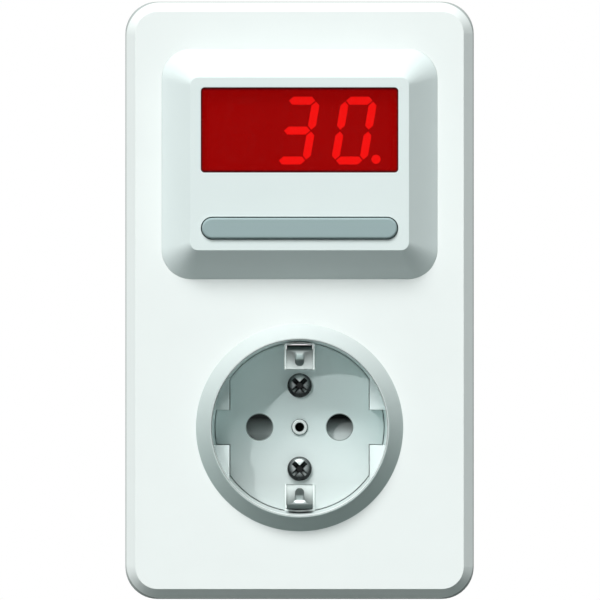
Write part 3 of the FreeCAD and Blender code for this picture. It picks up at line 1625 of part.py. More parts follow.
def mounting_frame():
    """Square steel frame with slots for the wall box and two legs that hold the base."""
    height = frame_top_z - frame_low_z
    frame = slab(frame_size, height, frame_corner, -frame_thickness, 0, 0, frame_low_z + height / 2)
    tools = [rod(2 * frame_hole_r, -frame_thickness, 0)]
    for x in spread_x(terminal_x):
        tools.append(rod(terminal_well_d + 2 * frame_well_gap, -frame_thickness, 0, x, terminal_z))
    notch = max(wire_x[2], -wire_x[0]) + frame_notch_side
    tools.append(block(-notch, notch, -frame_thickness, 0, 0, wire_low_z + frame_notch_above))
    for x in spread_x(box_screw_pitch / 2):
        tools.append(slab(box_slot_length, box_slot_width, box_slot_width / 2, -frame_thickness, 0, x, 0))
    frame = without(frame, tools)
    lug_y = base_front_y + lug_from_front
    for side in (-1, 1):
        x0, x1 = sorted((side * leg_near_x, side * leg_far_x))
        leg = block(x0, x1, -frame_thickness, leg_length, -leg_width / 2, leg_width / 2)
        half = lug_length / 2 + lug_gap_side
        opening = block(x0, x1, lug_y - lug_gap_depth, lug_y + lug_depth + lug_gap_depth, -half, half)
        frame = frame.fuse(leg.cut(opening))
    return frame.removeSplitter()


def wires():
    names = ["supply_wire", "switched_wire", "neutral_wire"]
    return {name: wire(x) for name, x in zip(names, wire_x)}


def build():
    nodes = {
        "front_plate": front_plate(),
        "timer_bezel": timer_bezel(),
        "display_window": display_window(),
        "start_button": start_button(),
        "button_guides": button_guides(),
        "button_springs": button_springs(),
        "rear_cover": rear_cover(),
        "case_screws": case_screws(),
        "lit_segments": lit_segments(),
        "dark_segments": dark_segments(),
        "display_block": display_block(),
        "display_sockets": display_sockets(),
        "display_pins": display_pins(),
        "key_switch": key_switch(),
        "switch_cover": switch_cover(),
        "switch_plunger": switch_plunger(),
        "relay_base": relay_base(),
        "relay_case": relay_case(),
        "relay_coil": relay_coil(),
        "relay_yoke": relay_yoke(),
        "relay_armature": relay_armature(),
        "relay_contacts": relay_contacts(),
        "film_capacitor": film_capacitor(),
        "smoothing_capacitor": smoothing_capacitor(),
        "varistor": varistor(),
        "fuse": fuse(),
        "rectifier_diodes": rectifier_diodes(),
        "resistors": resistors(),
        "microcontroller": microcontroller(),
        "controller_legs": controller_legs(),
        "circuit_board": circuit_board(),
        "socket_face": socket_face(),
        "clip_liners": clip_liners(),
        "central_rivet": central_rivet(),
        "cover_screws": cover_screws(),
        "threaded_inserts": threaded_inserts(),
        "safety_shutter": safety_shutter(),
        "shutter_spring": shutter_spring(),
        "socket_base": socket_base(),
        "base_rear_cover": base_rear_cover(),
        "base_screws": base_screws(),
        "line_contact": line_contact(),
        "neutral_contact": neutral_contact(),
        "supply_strip": supply_strip(),
        "earth_strap": earth_strap(),
        "terminal_screws": terminal_screws(),
        "clamp_washers": clamp_washers(),
        "mounting_frame": mounting_frame(),
    }
    nodes.update(wires())
    return nodes


os.makedirs("parts", exist_ok=True)
for name, shape in build().items():
    shape.exportStep("parts/" + name + ".step")
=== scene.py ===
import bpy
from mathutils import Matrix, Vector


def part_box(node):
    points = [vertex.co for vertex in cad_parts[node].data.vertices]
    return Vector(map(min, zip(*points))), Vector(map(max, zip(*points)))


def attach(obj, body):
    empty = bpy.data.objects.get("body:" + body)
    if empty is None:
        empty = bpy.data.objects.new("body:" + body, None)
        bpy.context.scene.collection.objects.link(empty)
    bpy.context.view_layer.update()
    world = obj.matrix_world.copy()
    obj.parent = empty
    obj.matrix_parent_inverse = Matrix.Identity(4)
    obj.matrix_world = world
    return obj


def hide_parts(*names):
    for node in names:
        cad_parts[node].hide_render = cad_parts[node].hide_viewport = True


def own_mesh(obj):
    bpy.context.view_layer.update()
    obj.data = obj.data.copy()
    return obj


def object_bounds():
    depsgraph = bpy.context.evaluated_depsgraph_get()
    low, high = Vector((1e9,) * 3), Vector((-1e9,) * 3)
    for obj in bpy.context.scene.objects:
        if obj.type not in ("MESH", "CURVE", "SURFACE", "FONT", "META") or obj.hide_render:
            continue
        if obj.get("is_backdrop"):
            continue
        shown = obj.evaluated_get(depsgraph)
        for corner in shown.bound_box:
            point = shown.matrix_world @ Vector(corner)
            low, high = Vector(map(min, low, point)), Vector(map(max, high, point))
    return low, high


bl_info = {
    "name": "Countdown Timer Outlet",
    "version": (1, 0, 0),
    "blender": (4, 5, 0),
    "location": "View3D > Sidebar > Outlet",
    "description": "Finishes and fine parts of a wall outlet with a countdown timer",
    "category": "Object",
}

import math

import bpy
from bpy.props import FloatProperty, FloatVectorProperty, IntProperty, PointerProperty
from mathutils import Vector

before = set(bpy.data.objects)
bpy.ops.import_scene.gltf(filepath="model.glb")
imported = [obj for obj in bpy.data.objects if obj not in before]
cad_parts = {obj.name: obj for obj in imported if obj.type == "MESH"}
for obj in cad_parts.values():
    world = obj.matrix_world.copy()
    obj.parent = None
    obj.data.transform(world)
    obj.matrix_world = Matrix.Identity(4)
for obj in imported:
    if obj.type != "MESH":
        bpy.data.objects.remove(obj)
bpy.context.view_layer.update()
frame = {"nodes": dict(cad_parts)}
MM = 0.001

# Places that the finishes follow, in millimetres from the wall and from the axis of the socket.
# A pair, apart from that of the two holes, is the stretch over which a tone fades in or out.
RECESS_RADIUS = 20.95
RECESS_FLOOR_FROM = -12.0
RECESS_MOUTH = (-16.8, -13.6)
RING_INNER = 21.0
RING_OUTER = 24.5
RING_FADE = (-10.0, 23.0)
FLOOR_FADE = (-13.0, 1.0)
SHUTTER_FADE = (-1.6, 2.1)
PLATE_CORNER = 8.3
PLATE_RIM = (0.12, 0.3)
WINDOW_CORNER = 0.9
WINDOW_EDGE = (0.25, 0.6)
PIN_HOLES = (-9.5, 9.5)
PIN_HOLE_RADIUS = 3.15
PIN_HOLE_RIM = (0.08, 0.16)
RIVET_BORE = 1.14
RIVET_RIM = 1.8
LINER_POCKET_FROM = 0.7
LINER_FADE = (14.2, 18.6)
CLIP_ROOT = (17.3, 18.3)
CLIP_BEND = (15.7, 17.0)
CLIP_FLANK = (0.55, 1.0)
LEADS_FROM = -5.1
WIRE_ENDS_FROM = 38.5

# Places of the painted shade and painted highlight on the heads of the cover screws, in millimetres from the
# middle of a head
HIGHLIGHT_HEIGHT = 0.55
HIGHLIGHT_REACH = 1.8
SCREW_RIM_SHADE = (1.6, 2.6)
ARM_HALF = 0.55
ARM_FLOOR_HALF = 0.26
ARM_TIP = 2.125
ARM_LIGHT = (0.8, 1.4)
LOWER_ARMS = -0.45

# Places on the small parts of the board, in millimetres
CAPACITOR_LID = 0.34
CAPACITOR_STRIPE = 1.025
DIODE_RING_AT = -8.9
DIODE_RING_HALF = 0.375
DIODE_MIDDLE = -10.5
DIODE_HALF = 2.58
RESISTOR_ROW = 11.5
RESISTOR_MIDDLE = 7.0
RESISTOR_HALF = 3.13
RESISTOR_BAND_HALF = 0.265
RESISTOR_BANDS = (
    (-2.1, (0.25, 0.02, 0.01)),
    (-1.1, (0.02, 0.02, 0.02)),
    (-0.1, (0.4, 0.09, 0.01)),
    (2.0, (0.4, 0.25, 0.05)),
)
TRACK_PITCH = 1.27
TRACK_HALF = 0.24

# Sizes of the fine parts, in metres
SAME_LEVEL = 0.01 * MM
LEAD_LENGTH = 1.2 * MM
LEAD_ACROSS = 1.2 * MM
JOINT_FOOT = 0.85 * MM
JOINT_TIP = 0.34 * MM
BOBBIN_FLANGE = 0.8 * MM
BOBBIN_LIP = 0.4 * MM
SPRING_SEAT = 1.5 * MM
SPRING_HOOK = 1.2 * MM

# Colours of the parts inside
TINNED = (0.7, 0.7, 0.68)
TINNED_PINS = (0.72, 0.72, 0.7)
SOLDER = (0.66, 0.66, 0.64)
SPRING_STEEL = (0.5, 0.5, 0.51)
SOFT_IRON = (0.45, 0.45, 0.43)
SWITCH_LID = (0.62, 0.63, 0.64)
COPPER = (0.5, 0.18, 0.06)
SPANGLE = (0.36, 0.39, 0.42)
BLACK = (0.02, 0.02, 0.022)
SWITCH_BLACK = (0.018, 0.018, 0.02)
DEEP_BLACK = (0.015, 0.015, 0.016)
# Painted shadow at the top of the shutter behind the pin holes
PIN_HOLE_SHADE = (0.008, 0.012, 0.012)
LIT_PLASTIC = (0.5, 0.004, 0.003)
DISPLAY_PLASTIC = (0.03, 0.0005, 0.0005)
RELAY_BLUE = (0.02, 0.065, 0.21)
BOBBIN_WHITE = (0.55, 0.55, 0.5)
THERMOSET = (0.6, 0.6, 0.56)
SLEEVE = (0.03, 0.035, 0.07)
SLEEVE_STRIPE = (0.5, 0.52, 0.55)
DIODE_RING = (0.5, 0.5, 0.5)
RESISTOR_BLUE = (0.22, 0.42, 0.52)
BOARD_GREEN = (0.02, 0.13, 0.045)
TRACK_GREEN = (0.035, 0.24, 0.08)

# Turns that lay a primitive along another axis
ALONG_X = (0.0, math.pi / 2, 0.0)
ALONG_Y = (math.pi / 2, 0.0, 0.0)

# Pattern that isn't drawn out, and the width of the camera's sensor in millimetres
EVEN = (1.0, 1.0, 1.0)
SENSOR_WIDTH = 36.0


# Sizes and colours that a user would change
def tone(name, description, default):
    return FloatVectorProperty(
        name=name, description=description, default=default, subtype="COLOR", size=3, min=0.0, max=1.0
    )


def length(name, description, default):
    return FloatProperty(name=name, description=description, default=default, unit="LENGTH", precision=5)


def share(name, description, default):
    return FloatProperty(name=name, description=description, default=default, min=0.0, max=1.0)


def count(name, description, default, least):
    return IntProperty(name=name, description=description, default=default, min=least)


def lamp_way(name, default):
    return FloatVectorProperty(
        name=name, description="Way to this light, as long as the light is strong", default=default, size=3
    )


def lamp_angle(name, degrees):
    return FloatProperty(
        name=name, description="How wide this light is", default=math.radians(degrees), subtype="ANGLE"
    )


class OutletMouldings(bpy.types.PropertyGroup):
    plate: tone("Plate", "Colour of the wall plate", (0.89, 0.935, 0.92))
    # The ring is painted darker than the plate, as painted shade, and lighter towards its top, as painted
    # light.
    ring: tone("Ring", "Colour of the raised ring round the recess", (0.45, 0.535, 0.52))
    ring_top_painted_light: tone("Ring high", "Colour of the top of that ring", (0.6, 0.655, 0.645))
    # The recess floor is painted lighter towards its upper end, where the rim casts its shadow, and darker
    # towards its lower end: painted light and shade.
    floor_low: tone("Floor low", "Colour of the lower end of the recess floor", (0.6, 0.66, 0.65))
    floor_high: tone("Floor high", "Colour of the upper end of the recess floor", (0.86, 0.97, 0.96))
    bezel: tone("Bezel", "Colour of the timer's bezel", (0.77, 0.85, 0.84))
    button: tone("Button", "Colour of the push button", (0.325, 0.425, 0.43))
    shutter: tone("Shutter", "Colour of the safety shutter", (0.86, 0.94, 0.93))
    inside: tone("Inside", "Colour of the mouldings inside and behind", (0.66, 0.69, 0.68))
    # The tone and three shares below paint shade: in creases, inside the mouth of the recess, along the
    # plate's rim and round the pin holes and the rivet.
    dust: tone("Dust", "Colour of the dust in creases and along edges", (0.11, 0.14, 0.135))
    mouth_shade: share("Mouth dust", "Most dust inside the mouth of the recess", 0.68)
    rim_shade: share("Rim dust", "Most dust along the rim of the plate", 0.6)
    hole_shade: share("Hole dust", "Most dust round the pin holes", 0.75)
    roughness: share("Roughness", "Roughness of the white mouldings", 0.42)
    grain: length("Grain", "Spacing of the fine texture of the moulds", 0.00035)
    grain_depth: length("Grain depth", "Height of that texture", 0.000004)
    edge: length("Edge", "Radius of the moulded edges", 0.00018)


class OutletDisplay(bpy.types.PropertyGroup):
    pane: tone("Pane", "Colour of the window", (0.53, 0.0005, 0.0005))
    cover: share("Cover", "How much the window hides what is behind it", 0.5)
    lit: tone("Lit", "Colour of the lit bars", (1.0, 0.008, 0.006))
    glow: FloatProperty(name="Glow", description="Strength of the lit bars", default=1.9, min=0.0)
    # The frame tone is painted shade along the edge of the window.
    frame: tone("Frame", "Colour of the dark edge of the window", (0.13, 0.003, 0.006))
    flange: length("Flange", "How far the window reaches behind the bezel", 0.0011)
    unlit: tone("Unlit", "Colour of the bars that are off", (0.03, 0.002, 0.002))


class OutletMetals(bpy.types.PropertyGroup):
    cover_screws: tone("Cover screws", "Colour of the blackened cover screws", (0.3, 0.33, 0.33))
    liner: tone("Liner", "Colour of the liners round the earth clips", (0.8, 0.88, 0.86))
    # Painted shade and painted highlight on the screw heads: dark lower rims and crosses, light wedges above
    # the crosses and lit floors of the lower arms.
    black: tone("Blacking", "Colour of the blacking where it is whole", (0.006, 0.008, 0.008))
    worn: tone("Worn", "Colour of the screws where a screwdriver has worn them", (0.56, 0.62, 0.61))
    strap: tone("Earth strap", "Colour of the plated earth strap", (0.72, 0.79, 0.78))
    # Painted shade on the earth clips and in their liners.
    tarnish: tone("Tarnish", "Colour of the tarnish on the clips and in their liners", (0.06, 0.075, 0.072))
    rivet: tone("Rivet", "Colour of the hollow rivet", (0.44, 0.49, 0.48))
    zinc: tone("Zinc", "Colour of the zinc plating", (0.55, 0.58, 0.6))
    brass: tone("Brass", "Colour of the bare brass", (0.72, 0.5, 0.2))


class OutletCoils(bpy.types.PropertyGroup):
    return_wire: length("Return spring wire", "Thickness of the wire of the button's springs", 0.0004)
    return_turns: count("Return spring turns", "Turns of each return spring", 9, 2)
    shutter_wire: length("Shutter spring wire", "Thickness of the wire of the shutter's spring", 0.0004)
    shutter_turns: count("Shutter spring turns", "Whole turns of the shutter's spring", 2, 1)
    winding_wire: length("Winding wire", "Spacing of the turns that show on the relay's coil", 0.0003)
    joint_height: length("Solder joint", "Height of a soldered joint behind the board", 0.0009)


class OutletScrews(bpy.types.PropertyGroup):
    dome: length("Dome", "Height of the domed head above its rim", 0.0013)
    rim: length("Rim", "Height of the rim of the head", 0.0006)
    shank: length("Shank", "Diameter of the shank", 0.0026)
    cross_slot: length("Cross slot", "Width of an arm of the cross at its top", 0.0012)
    cross_span: length("Cross span", "Length of the cross from tip to tip", 0.0043)
    cross_depth: length("Cross depth", "Depth of the cross below the top of the head", 0.0014)


class OutletStage(bpy.types.PropertyGroup):
    focal: FloatProperty(name="Focal length", description="Focal length in millimetres", default=800.0)
    view_width: length("View width", "Width of the camera's view at the plate", 0.14201)
    aim: FloatVectorProperty(
        name="Aim", description="Point in the middle of the view", default=(0.0001, -0.010, 0.03017),
        subtype="XYZ", unit="LENGTH", size=3,
    )
    floor_drop: length("Floor drop", "Space between the plate and the floor below it", 0.021)
    floor: tone("Floor", "Colour of the floor and of what is round the outlet", (0.82, 0.83, 0.83))
    key: lamp_way("Key light", (-0.084, -0.161, 0.077))
    key_angle: lamp_angle("Key angle", 2)
    side: lamp_way("Side light", (-0.174, -0.301, 0.414))
    side_angle: lamp_angle("Side angle", 22)
    top: lamp_way("Top light", (0.0, -0.352, 0.458))
    top_angle: lamp_angle("Top angle", 30)
    front: lamp_way("Front light", (0.0, -0.08, 0.0))
    front_angle: lamp_angle("Front angle", 40)
    back: lamp_way("Back light", (0.13, 0.5, 0.12))
    back_angle: lamp_angle("Back angle", 30)
    ambient: tone("Ambient", "Light from all round", (0.01, 0.04, 0.037))
    bounce: tone("Bounce", "Colour that the floor throws back on the outlet", (0.005, 0.02, 0.018))


GROUPS = {
    "outlet_mouldings": OutletMouldings,
    "outlet_display": OutletDisplay,
    "outlet_metals": OutletMetals,
    "outlet_coils": OutletCoils,
    "outlet_screws": OutletScrews,
    "outlet_stage": OutletStage,
}


# Nodes of the finishes
class Finish:
    """A material laid from the surface's own coordinates to its shader."""

    def __init__(self, name, **sockets):
        self.material = bpy.data.materials.new(name)
        self.material.use_nodes = True
        self.tree = self.material.node_tree
        self.shader = self.tree.nodes["Principled BSDF"]
        self.place = self.add("ShaderNodeTexCoord").outputs["Object"]
        for socket, value in sockets.items():
            self.shader.inputs[socket.replace("_", " ")].default_value = value

    def join(self, value, socket):
        """Links another node's result to a socket, or sets a plain value there."""
        if isinstance(value, bpy.types.NodeSocket):
            self.tree.links.new(value, socket)
            return
        if socket.type == "RGBA" and len(value) == 3:
            value = (*value, 1.0)
        socket.default_value = value

    def add(self, kind, inputs=None, **settings):
        node = self.tree.nodes.new(kind)
        for name, value in settings.items():
            setattr(node, name, value)
        for name, value in (inputs or {}).items():
            self.join(value, node.inputs[name])
        return node

    def drive(self, socket, value):
        self.join(value, self.shader.inputs[socket])

    def sum(self, operation, *values):
        node = self.add("ShaderNodeMath", dict(enumerate(values)), operation=operation)
        return node.outputs[0]

    def overlap(self, *masks):
        """1 where all of the masks are 1."""
        whole = masks[0]
        for mask in masks[1:]:
            whole = self.sum("MULTIPLY", whole, mask)
        return whole

    def apart(self, value, middle):
        """Distance of a value from a middle."""
        return self.sum("ABSOLUTE", self.sum("SUBTRACT", value, middle))

    def distance(self, across, up):
        """Length that two sides at a right angle span."""
        squares = [self.sum("POWER", side, 2.0) for side in (across, up)]
        return self.sum("SQRT", self.sum("ADD", *squares))

    def axis(self, letter):
        """Place along X, Y or Z in millimetres."""
        across = self.add("ShaderNodeSeparateXYZ", {"Vector": self.place}).outputs[letter]
        return self.sum("MULTIPLY", across, 1 / MM)

    def off(self, letter, middle=0.0):
        """Distance along an axis from a middle, in millimetres."""
        return self.apart(self.axis(letter), middle)

    def radius(self, x=0.0):
        """Distance from a line along Y at the height of the socket's axis, in millimetres."""
        return self.distance(self.off("X", x), self.off("Z"))

    def inset(self, name, corner, border=0.0):
        """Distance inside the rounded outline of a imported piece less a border, in millimetres."""
        low, high = (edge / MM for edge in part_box(name))
        half = (high - low) / 2
        middle = low + half
        across = self.sum("SUBTRACT", self.off("X", middle.x), half.x - border - corner)
        up = self.sum("SUBTRACT", self.off("Z", middle.z), half.z - border - corner)
        inner = self.sum("MINIMUM", self.sum("MAXIMUM", across, up), 0.0)
        outer = self.distance(self.sum("MAXIMUM", across, 0.0), self.sum("MAXIMUM", up, 0.0))
        return self.sum("SUBTRACT", corner, self.sum("ADD", inner, outer))

    def spread(self, value, low, high, start=0.3, end=0.7):
        """The stretch of a value from start to end, spread from low to high."""
        spans = {"Value": value, "From Min": start, "From Max": end, "To Min": low, "To Max": high}
        return self.add("ShaderNodeMapRange", spans).outputs[0]

    def beyond(self, value, edge, soft=0.05):
        """0 below an edge and 1 above it."""
        return self.spread(value, 0.0, 1.0, edge - soft, edge + soft)

    def within(self, value, edge, soft=0.05):
        """1 below an edge and 0 above it."""
        return self.spread(value, 1.0, 0.0, edge - soft, edge + soft)

    def leads(self):
        """1 on the leads that go through the board."""
        return self.beyond(self.axis("Y"), LEADS_FROM)

    def creases(self, reach):
        """1 in the tight corners, where shade is painted, and 0 on open faces."""
        open_air = self.add("ShaderNodeAmbientOcclusion", {"Distance": reach}, samples=6).outputs["AO"]
        return self.spread(open_air, 0.75, 0.0, start=0.2, end=0.62)

    def noise(self, size, detail=2.0, stretch=EVEN):
        """Spots about one size across, drawn out along an axis by its stretch."""
        scale = tuple(1.0 / s for s in stretch)
        place = self.add("ShaderNodeMapping", {"Vector": self.place, "Scale": scale}).outputs[0]
        settings = {"Vector": place, "Scale": 1.0 / size, "Detail": detail}
        return self.add("ShaderNodeTexNoise", settings).outputs[0]

    def blend(self, amount, first, second):
        return self.add("ShaderNodeMix", {0: amount, 6: first, 7: second}, data_type="RGBA").outputs[2]

    def clouded(self, colour, size=0.012, fade=0.985):
        """A colour with faint darker clouds."""
        darker = tuple(c * fade for c in colour)
        return self.blend(self.spread(self.noise(size, 3.0), 0.0, 1.0), darker, colour)

    def tint(self, mask, colour):
        """Lays a colour over the finish where a mask is 1."""
        plain = self.shader.inputs["Base Color"].links[0].from_socket
        self.drive("Base Color", self.blend(mask, plain, colour))

    def relief(self, height, depth, edge):
        """Bumps of a depth, over edges of a small radius."""
        rounded = self.add("ShaderNodeBevel", {"Radius": edge}, samples=6).outputs[0]
        bump = self.add("ShaderNodeBump", {"Height": height, "Distance": depth, "Normal": rounded})
        self.drive("Normal", bump.outputs[0])


def moulded(name, colour, roughness=0.45, grain=0.00035, depth=0.000004, edge=0.00018, swing=0.04):
    """Moulded plastic with spark-eroded grain, faint clouds and soft edges."""
    finish = Finish(name, Specular_IOR_Level=0.25)
    finish.drive("Base Color", finish.clouded(colour))
    finish.drive("Roughness", finish.spread(finish.noise(0.004), roughness - swing, roughness + swing))
    finish.relief(finish.noise(grain, 3.0), depth, edge)
    return finish


def white_moulding(name, colour):
    """White moulding with painted shade in its creases."""
    look = bpy.context.scene.outlet_mouldings
    finish = moulded(name, colour, look.roughness, look.grain, look.grain_depth, look.edge)
    finish.tint(finish.creases(0.0003), look.dust)
    return finish


def metal(name, colour, roughness, stretch=EVEN, wear=0.25, depth=0.000004, edge=0.0001, **sockets):
    """Metal with fine lines along one way and duller clouds."""
    finish = Finish(name, **{"Metallic": 1.0, **sockets})
    finish.drive("Base Color", finish.clouded(colour, 0.003, 1.0 - wear))
    lines = finish.noise(0.00025, 3.0, stretch)
    finish.drive("Roughness", finish.spread(lines, roughness * 0.75, roughness * 1.25))
    finish.relief(lines, depth, edge)
    return finish


def tinned_leads(finish, mask):
    """Turns what a mask covers into tinned wire."""
    finish.tint(mask, TINNED)
    finish.drive("Metallic", mask)


def dress(finish, *names):
    """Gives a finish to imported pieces."""
    for name in names:
        for place in frame["nodes"][name].material_slots:
            place.material = finish.material


def seen(tree):
    """1 for what is seen straight, mirrored or through a clear piece."""
    path = tree.nodes.new("ShaderNodeLightPath")
    sight = path.outputs["Is Camera Ray"]
    for kind in ("Is Glossy Ray", "Is Transmission Ray"):
        either = tree.nodes.new("ShaderNodeMath")
        either.operation = "MAXIMUM"
        tree.links.new(sight, either.inputs[0])
        tree.links.new(path.outputs[kind], either.inputs[1])
        sight = either.outputs[0]
    return sight


# Modelling helpers
def clear_selection():
    """Leaves edit mode and deselects everything."""
    if bpy.context.object and bpy.context.object.mode != "OBJECT":
        bpy.ops.object.mode_set(mode="OBJECT")
    bpy.ops.object.select_all(action="DESELECT")


def pick(*pieces):
    """Selects these pieces alone, the first one active."""
    clear_selection()
    for piece in pieces:
        piece.select_set(True)
    bpy.context.view_layer.objects.active = pieces[0]


def apply_place(piece):
    """Moves a piece's place, turn and scale into its mesh."""
    pick(piece)
    bpy.ops.object.transform_apply(location=True, rotation=True, scale=True)


def open_up():
    """Goes into edit mode with all of the active piece selected."""
    bpy.ops.object.mode_set(mode="EDIT")
    bpy.ops.mesh.select_all(action="SELECT")


def close_up(cap=False):
    """Turns all faces outwards, after capping open ends where asked, and leaves edit mode."""
    bpy.ops.mesh.select_all(action="SELECT")
    if cap:
        bpy.ops.mesh.remove_doubles(threshold=0.0005 * MM)
        bpy.ops.mesh.fill_holes(sides=0)
    bpy.ops.mesh.normals_make_consistent(inside=False)
    bpy.ops.object.mode_set(mode="OBJECT")


def choose_faces(piece, wanted):
    """Selects the faces that a test picks and leaves the piece in edit mode."""
    pick(piece)
    bpy.ops.object.mode_set(mode="EDIT")
    bpy.ops.mesh.select_mode(type="FACE")
    bpy.ops.mesh.select_all(action="DESELECT")
    bpy.ops.object.mode_set(mode="OBJECT")
    for face in piece.data.polygons:
        face.select = wanted(face)
    bpy.ops.object.mode_set(mode="EDIT")


def extrude_along_y(step, sides, up, end):
    """Extrudes what is selected by a step along Y to an end, whose outline it scales."""
    bpy.ops.mesh.extrude_region_move(TRANSFORM_OT_translate={"value": (0.0, step, 0.0)})
    bpy.ops.transform.resize(value=(sides, 1.0, up), center_override=(0.0, end, 0.0))


def joined(pieces):
    """Makes one piece of several, at the origin."""
    for piece in pieces:
        apply_place(piece)
    pick(*pieces)
    if len(pieces) > 1:
        bpy.ops.object.join()
    return bpy.context.object


def spread_out(first, places):
    """Copies of a piece at these places, joined into one, in its stead."""
    copies = []
    for place in places:
        copy = first.copy()
        copy.data = first.data.copy()
        copy.location = place
        bpy.context.scene.collection.objects.link(copy)
        copies.append(copy)
    bpy.data.objects.remove(first)
    return joined(copies)


def settle(piece, name, finish, body="housing"):
    """Names a finished piece, gives it its finish and lets it ride on its body."""
    apply_place(piece)
    piece.name = name
    piece.data.name = name
    piece.data.materials.clear()
    piece.data.materials.append(finish.material)
    bpy.ops.object.shade_smooth_by_angle(angle=math.radians(35))
    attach(piece, body)
    return piece


def wound_wire(radius, wire, turns, rise, start, sides=10, steps=24):
    """Wire wound about a line along Y, from a start point on that line."""
    clear_selection()
    bpy.ops.mesh.primitive_circle_add(vertices=sides, radius=wire / 2, location=start)
    coil = bpy.context.object
    open_up()
    bpy.ops.transform.translate(value=(radius, 0.0, 0.0))
    bpy.ops.object.mode_set(mode="OBJECT")
    bpy.ops.object.modifier_add(type="SCREW")
    screw = coil.modifiers[-1]
    screw.axis = "Y"
    screw.angle = math.tau * turns
    screw.screw_offset = rise
    screw.steps = screw.render_steps = int(steps * turns)
    bpy.ops.object.modifier_apply(modifier=screw.name)
    bpy.ops.object.mode_set(mode="EDIT")
    close_up(cap=True)
    return coil


def round_rims(piece, width):
    """Rounds the sharp rims of a round piece."""
    pick(piece)
    bpy.ops.object.modifier_add(type="BEVEL")
    rim = piece.modifiers[-1]
    rim.width = width
    rim.segments = 2
    rim.limit_method = "ANGLE"
    rim.angle_limit = math.radians(60)
    bpy.ops.object.modifier_apply(modifier=rim.name)


def round_bar(diameter, start, end, sides, rounding):
    """Straight round bar along Y between two points, with rounded ends."""
    clear_selection()
    reach = abs(end.y - start.y)
    bpy.ops.mesh.primitive_cylinder_add(
        vertices=sides, radius=diameter / 2, depth=reach, location=(start + end) / 2, rotation=ALONG_Y
    )
    bar = bpy.context.object
    round_rims(bar, rounding)
    return bar


def lead_ends(*names):
    """Middles of the round lead ends behind the board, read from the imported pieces."""
    places = []
    for name in names:
        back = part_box(name)[1].y
        rim = [v.co for v in frame["nodes"][name].data.vertices if abs(v.co.y - back) < SAME_LEVEL]
        groups = []
        for point in rim:
            for group in groups:
                if (group[0] - point).length < LEAD_ACROSS:
                    group.append(point)
                    break
            else:
                groups.append([point])
        for group in groups:
            low = Vector(min(p[i] for p in group) for i in range(3))
            high = Vector(max(p[i] for p in group) for i in range(3))
            places.append((low + high) / 2)
    return places


class OutletOperator(bpy.types.Operator):
    """Base of the operators of this outlet"""

    bl_options = {"REGISTER", "UNDO"}


class OUTLET_OT_wall_plate(OutletOperator):
    """Finishes the white wall plate, with painted light and shade on its ring and in its recess and painted
    shade along its rim
    """

    bl_idname = "outlet.wall_plate"
    bl_label = "Wall Plate"

    def execute(self, context):
        look = context.scene.outlet_mouldings
        finish = white_moulding("white_plate", look.plate)
        radius, depth, level = finish.radius(), finish.axis("Y"), finish.axis("Z")
        # Painted shade on the raised ring, with painted light towards its top.
        ring = finish.overlap(finish.beyond(radius, RING_INNER), finish.within(radius, RING_OUTER))
        height = finish.spread(level, 0.0, 1.0, *RING_FADE)
        finish.tint(ring, finish.blend(height, look.ring, look.ring_top_painted_light))

        # Painted light and shade in the deep part of the recess: its wall and guide blocks take the floor's
        # tones, lighter towards the top.
        recess = finish.within(radius, RECESS_RADIUS, soft=0.02)
        deep = finish.beyond(depth, RECESS_FLOOR_FROM, soft=0.6)
        height = finish.spread(level, 0.0, 1.0, *FLOOR_FADE)
        finish.tint(finish.overlap(recess, deep), finish.blend(height, look.floor_low, look.floor_high))
        # Painted shade in a dark band inside the mouth of the recess.
        mouth = finish.spread(depth, look.mouth_shade, 0.0, *RECESS_MOUTH)
        finish.tint(finish.overlap(recess, mouth), look.dust)

        # Painted shade in a thin dark line along the plate's outer rim.
        rim = finish.inset("front_plate", PLATE_CORNER)
        finish.tint(finish.spread(rim, look.rim_shade, 0.0, *PLATE_RIM), look.dust)
        dress(finish, "front_plate")
        return {"FINISHED"}


class OUTLET_OT_timer_bezel(OutletOperator):
    """Finishes the raised bezel of the timer"""

    bl_idname = "outlet.timer_bezel"
    bl_label = "Timer Bezel"

    def execute(self, context):
        dress(white_moulding("bezel_white", context.scene.outlet_mouldings.bezel), "timer_bezel")
        return {"FINISHED"}


class OUTLET_OT_display(OutletOperator):
    """Finishes the red window and the display behind it"""

    bl_idname = "outlet.display"
    bl_label = "Display"

    def execute(self, context):
        look = context.scene.outlet_display
        window = Finish("red_window", Alpha=look.cover, Specular_IOR_Level=0.02)
        window.drive("Base Color", window.clouded(look.pane, size=0.02, fade=0.97))
        window.drive("Roughness", window.spread(window.noise(0.003), 0.12, 0.2))
        # Painted shade along the edge of the window.
        pane = window.inset("display_window", WINDOW_CORNER, look.flange / MM)
        window.tint(window.spread(pane, 1.0, 0.0, *WINDOW_EDGE), look.frame)
        dress(window, "display_window")

        lit = Finish("lit_bars", Emission_Strength=look.glow, Emission_Color=(*look.lit, 1.0), Roughness=0.4)
        lit.drive("Base Color", lit.clouded(LIT_PLASTIC, size=0.002, fade=0.9))
        dress(lit, "lit_segments")
        dress(moulded("unlit_bars", look.unlit, roughness=0.4), "dark_segments")
        dress(moulded("display_moulding", DISPLAY_PLASTIC, roughness=0.7), "display_block")
        dress(moulded("socket_strips", DEEP_BLACK, roughness=0.5), "display_sockets")
        dress(metal("tinned_pins", TINNED_PINS, roughness=0.25, stretch=(1.0, 8.0, 1.0)), "display_pins")
        return {"FINISHED"}


class OUTLET_OT_push_button(OutletOperator):
    """Finishes the grey push button and the cups that steer it"""

    bl_idname = "outlet.push_button"
    bl_label = "Push Button"

    def execute(self, context):
        look = context.scene.outlet_mouldings
        grey = moulded(
            "button_grey", look.button, roughness=0.5, grain=0.0003, depth=0.000005, edge=look.edge
        )
        dress(grey, "start_button")
        dress(moulded("guide_white", look.inside, roughness=0.5), "button_guides")
        return {"FINISHED"}


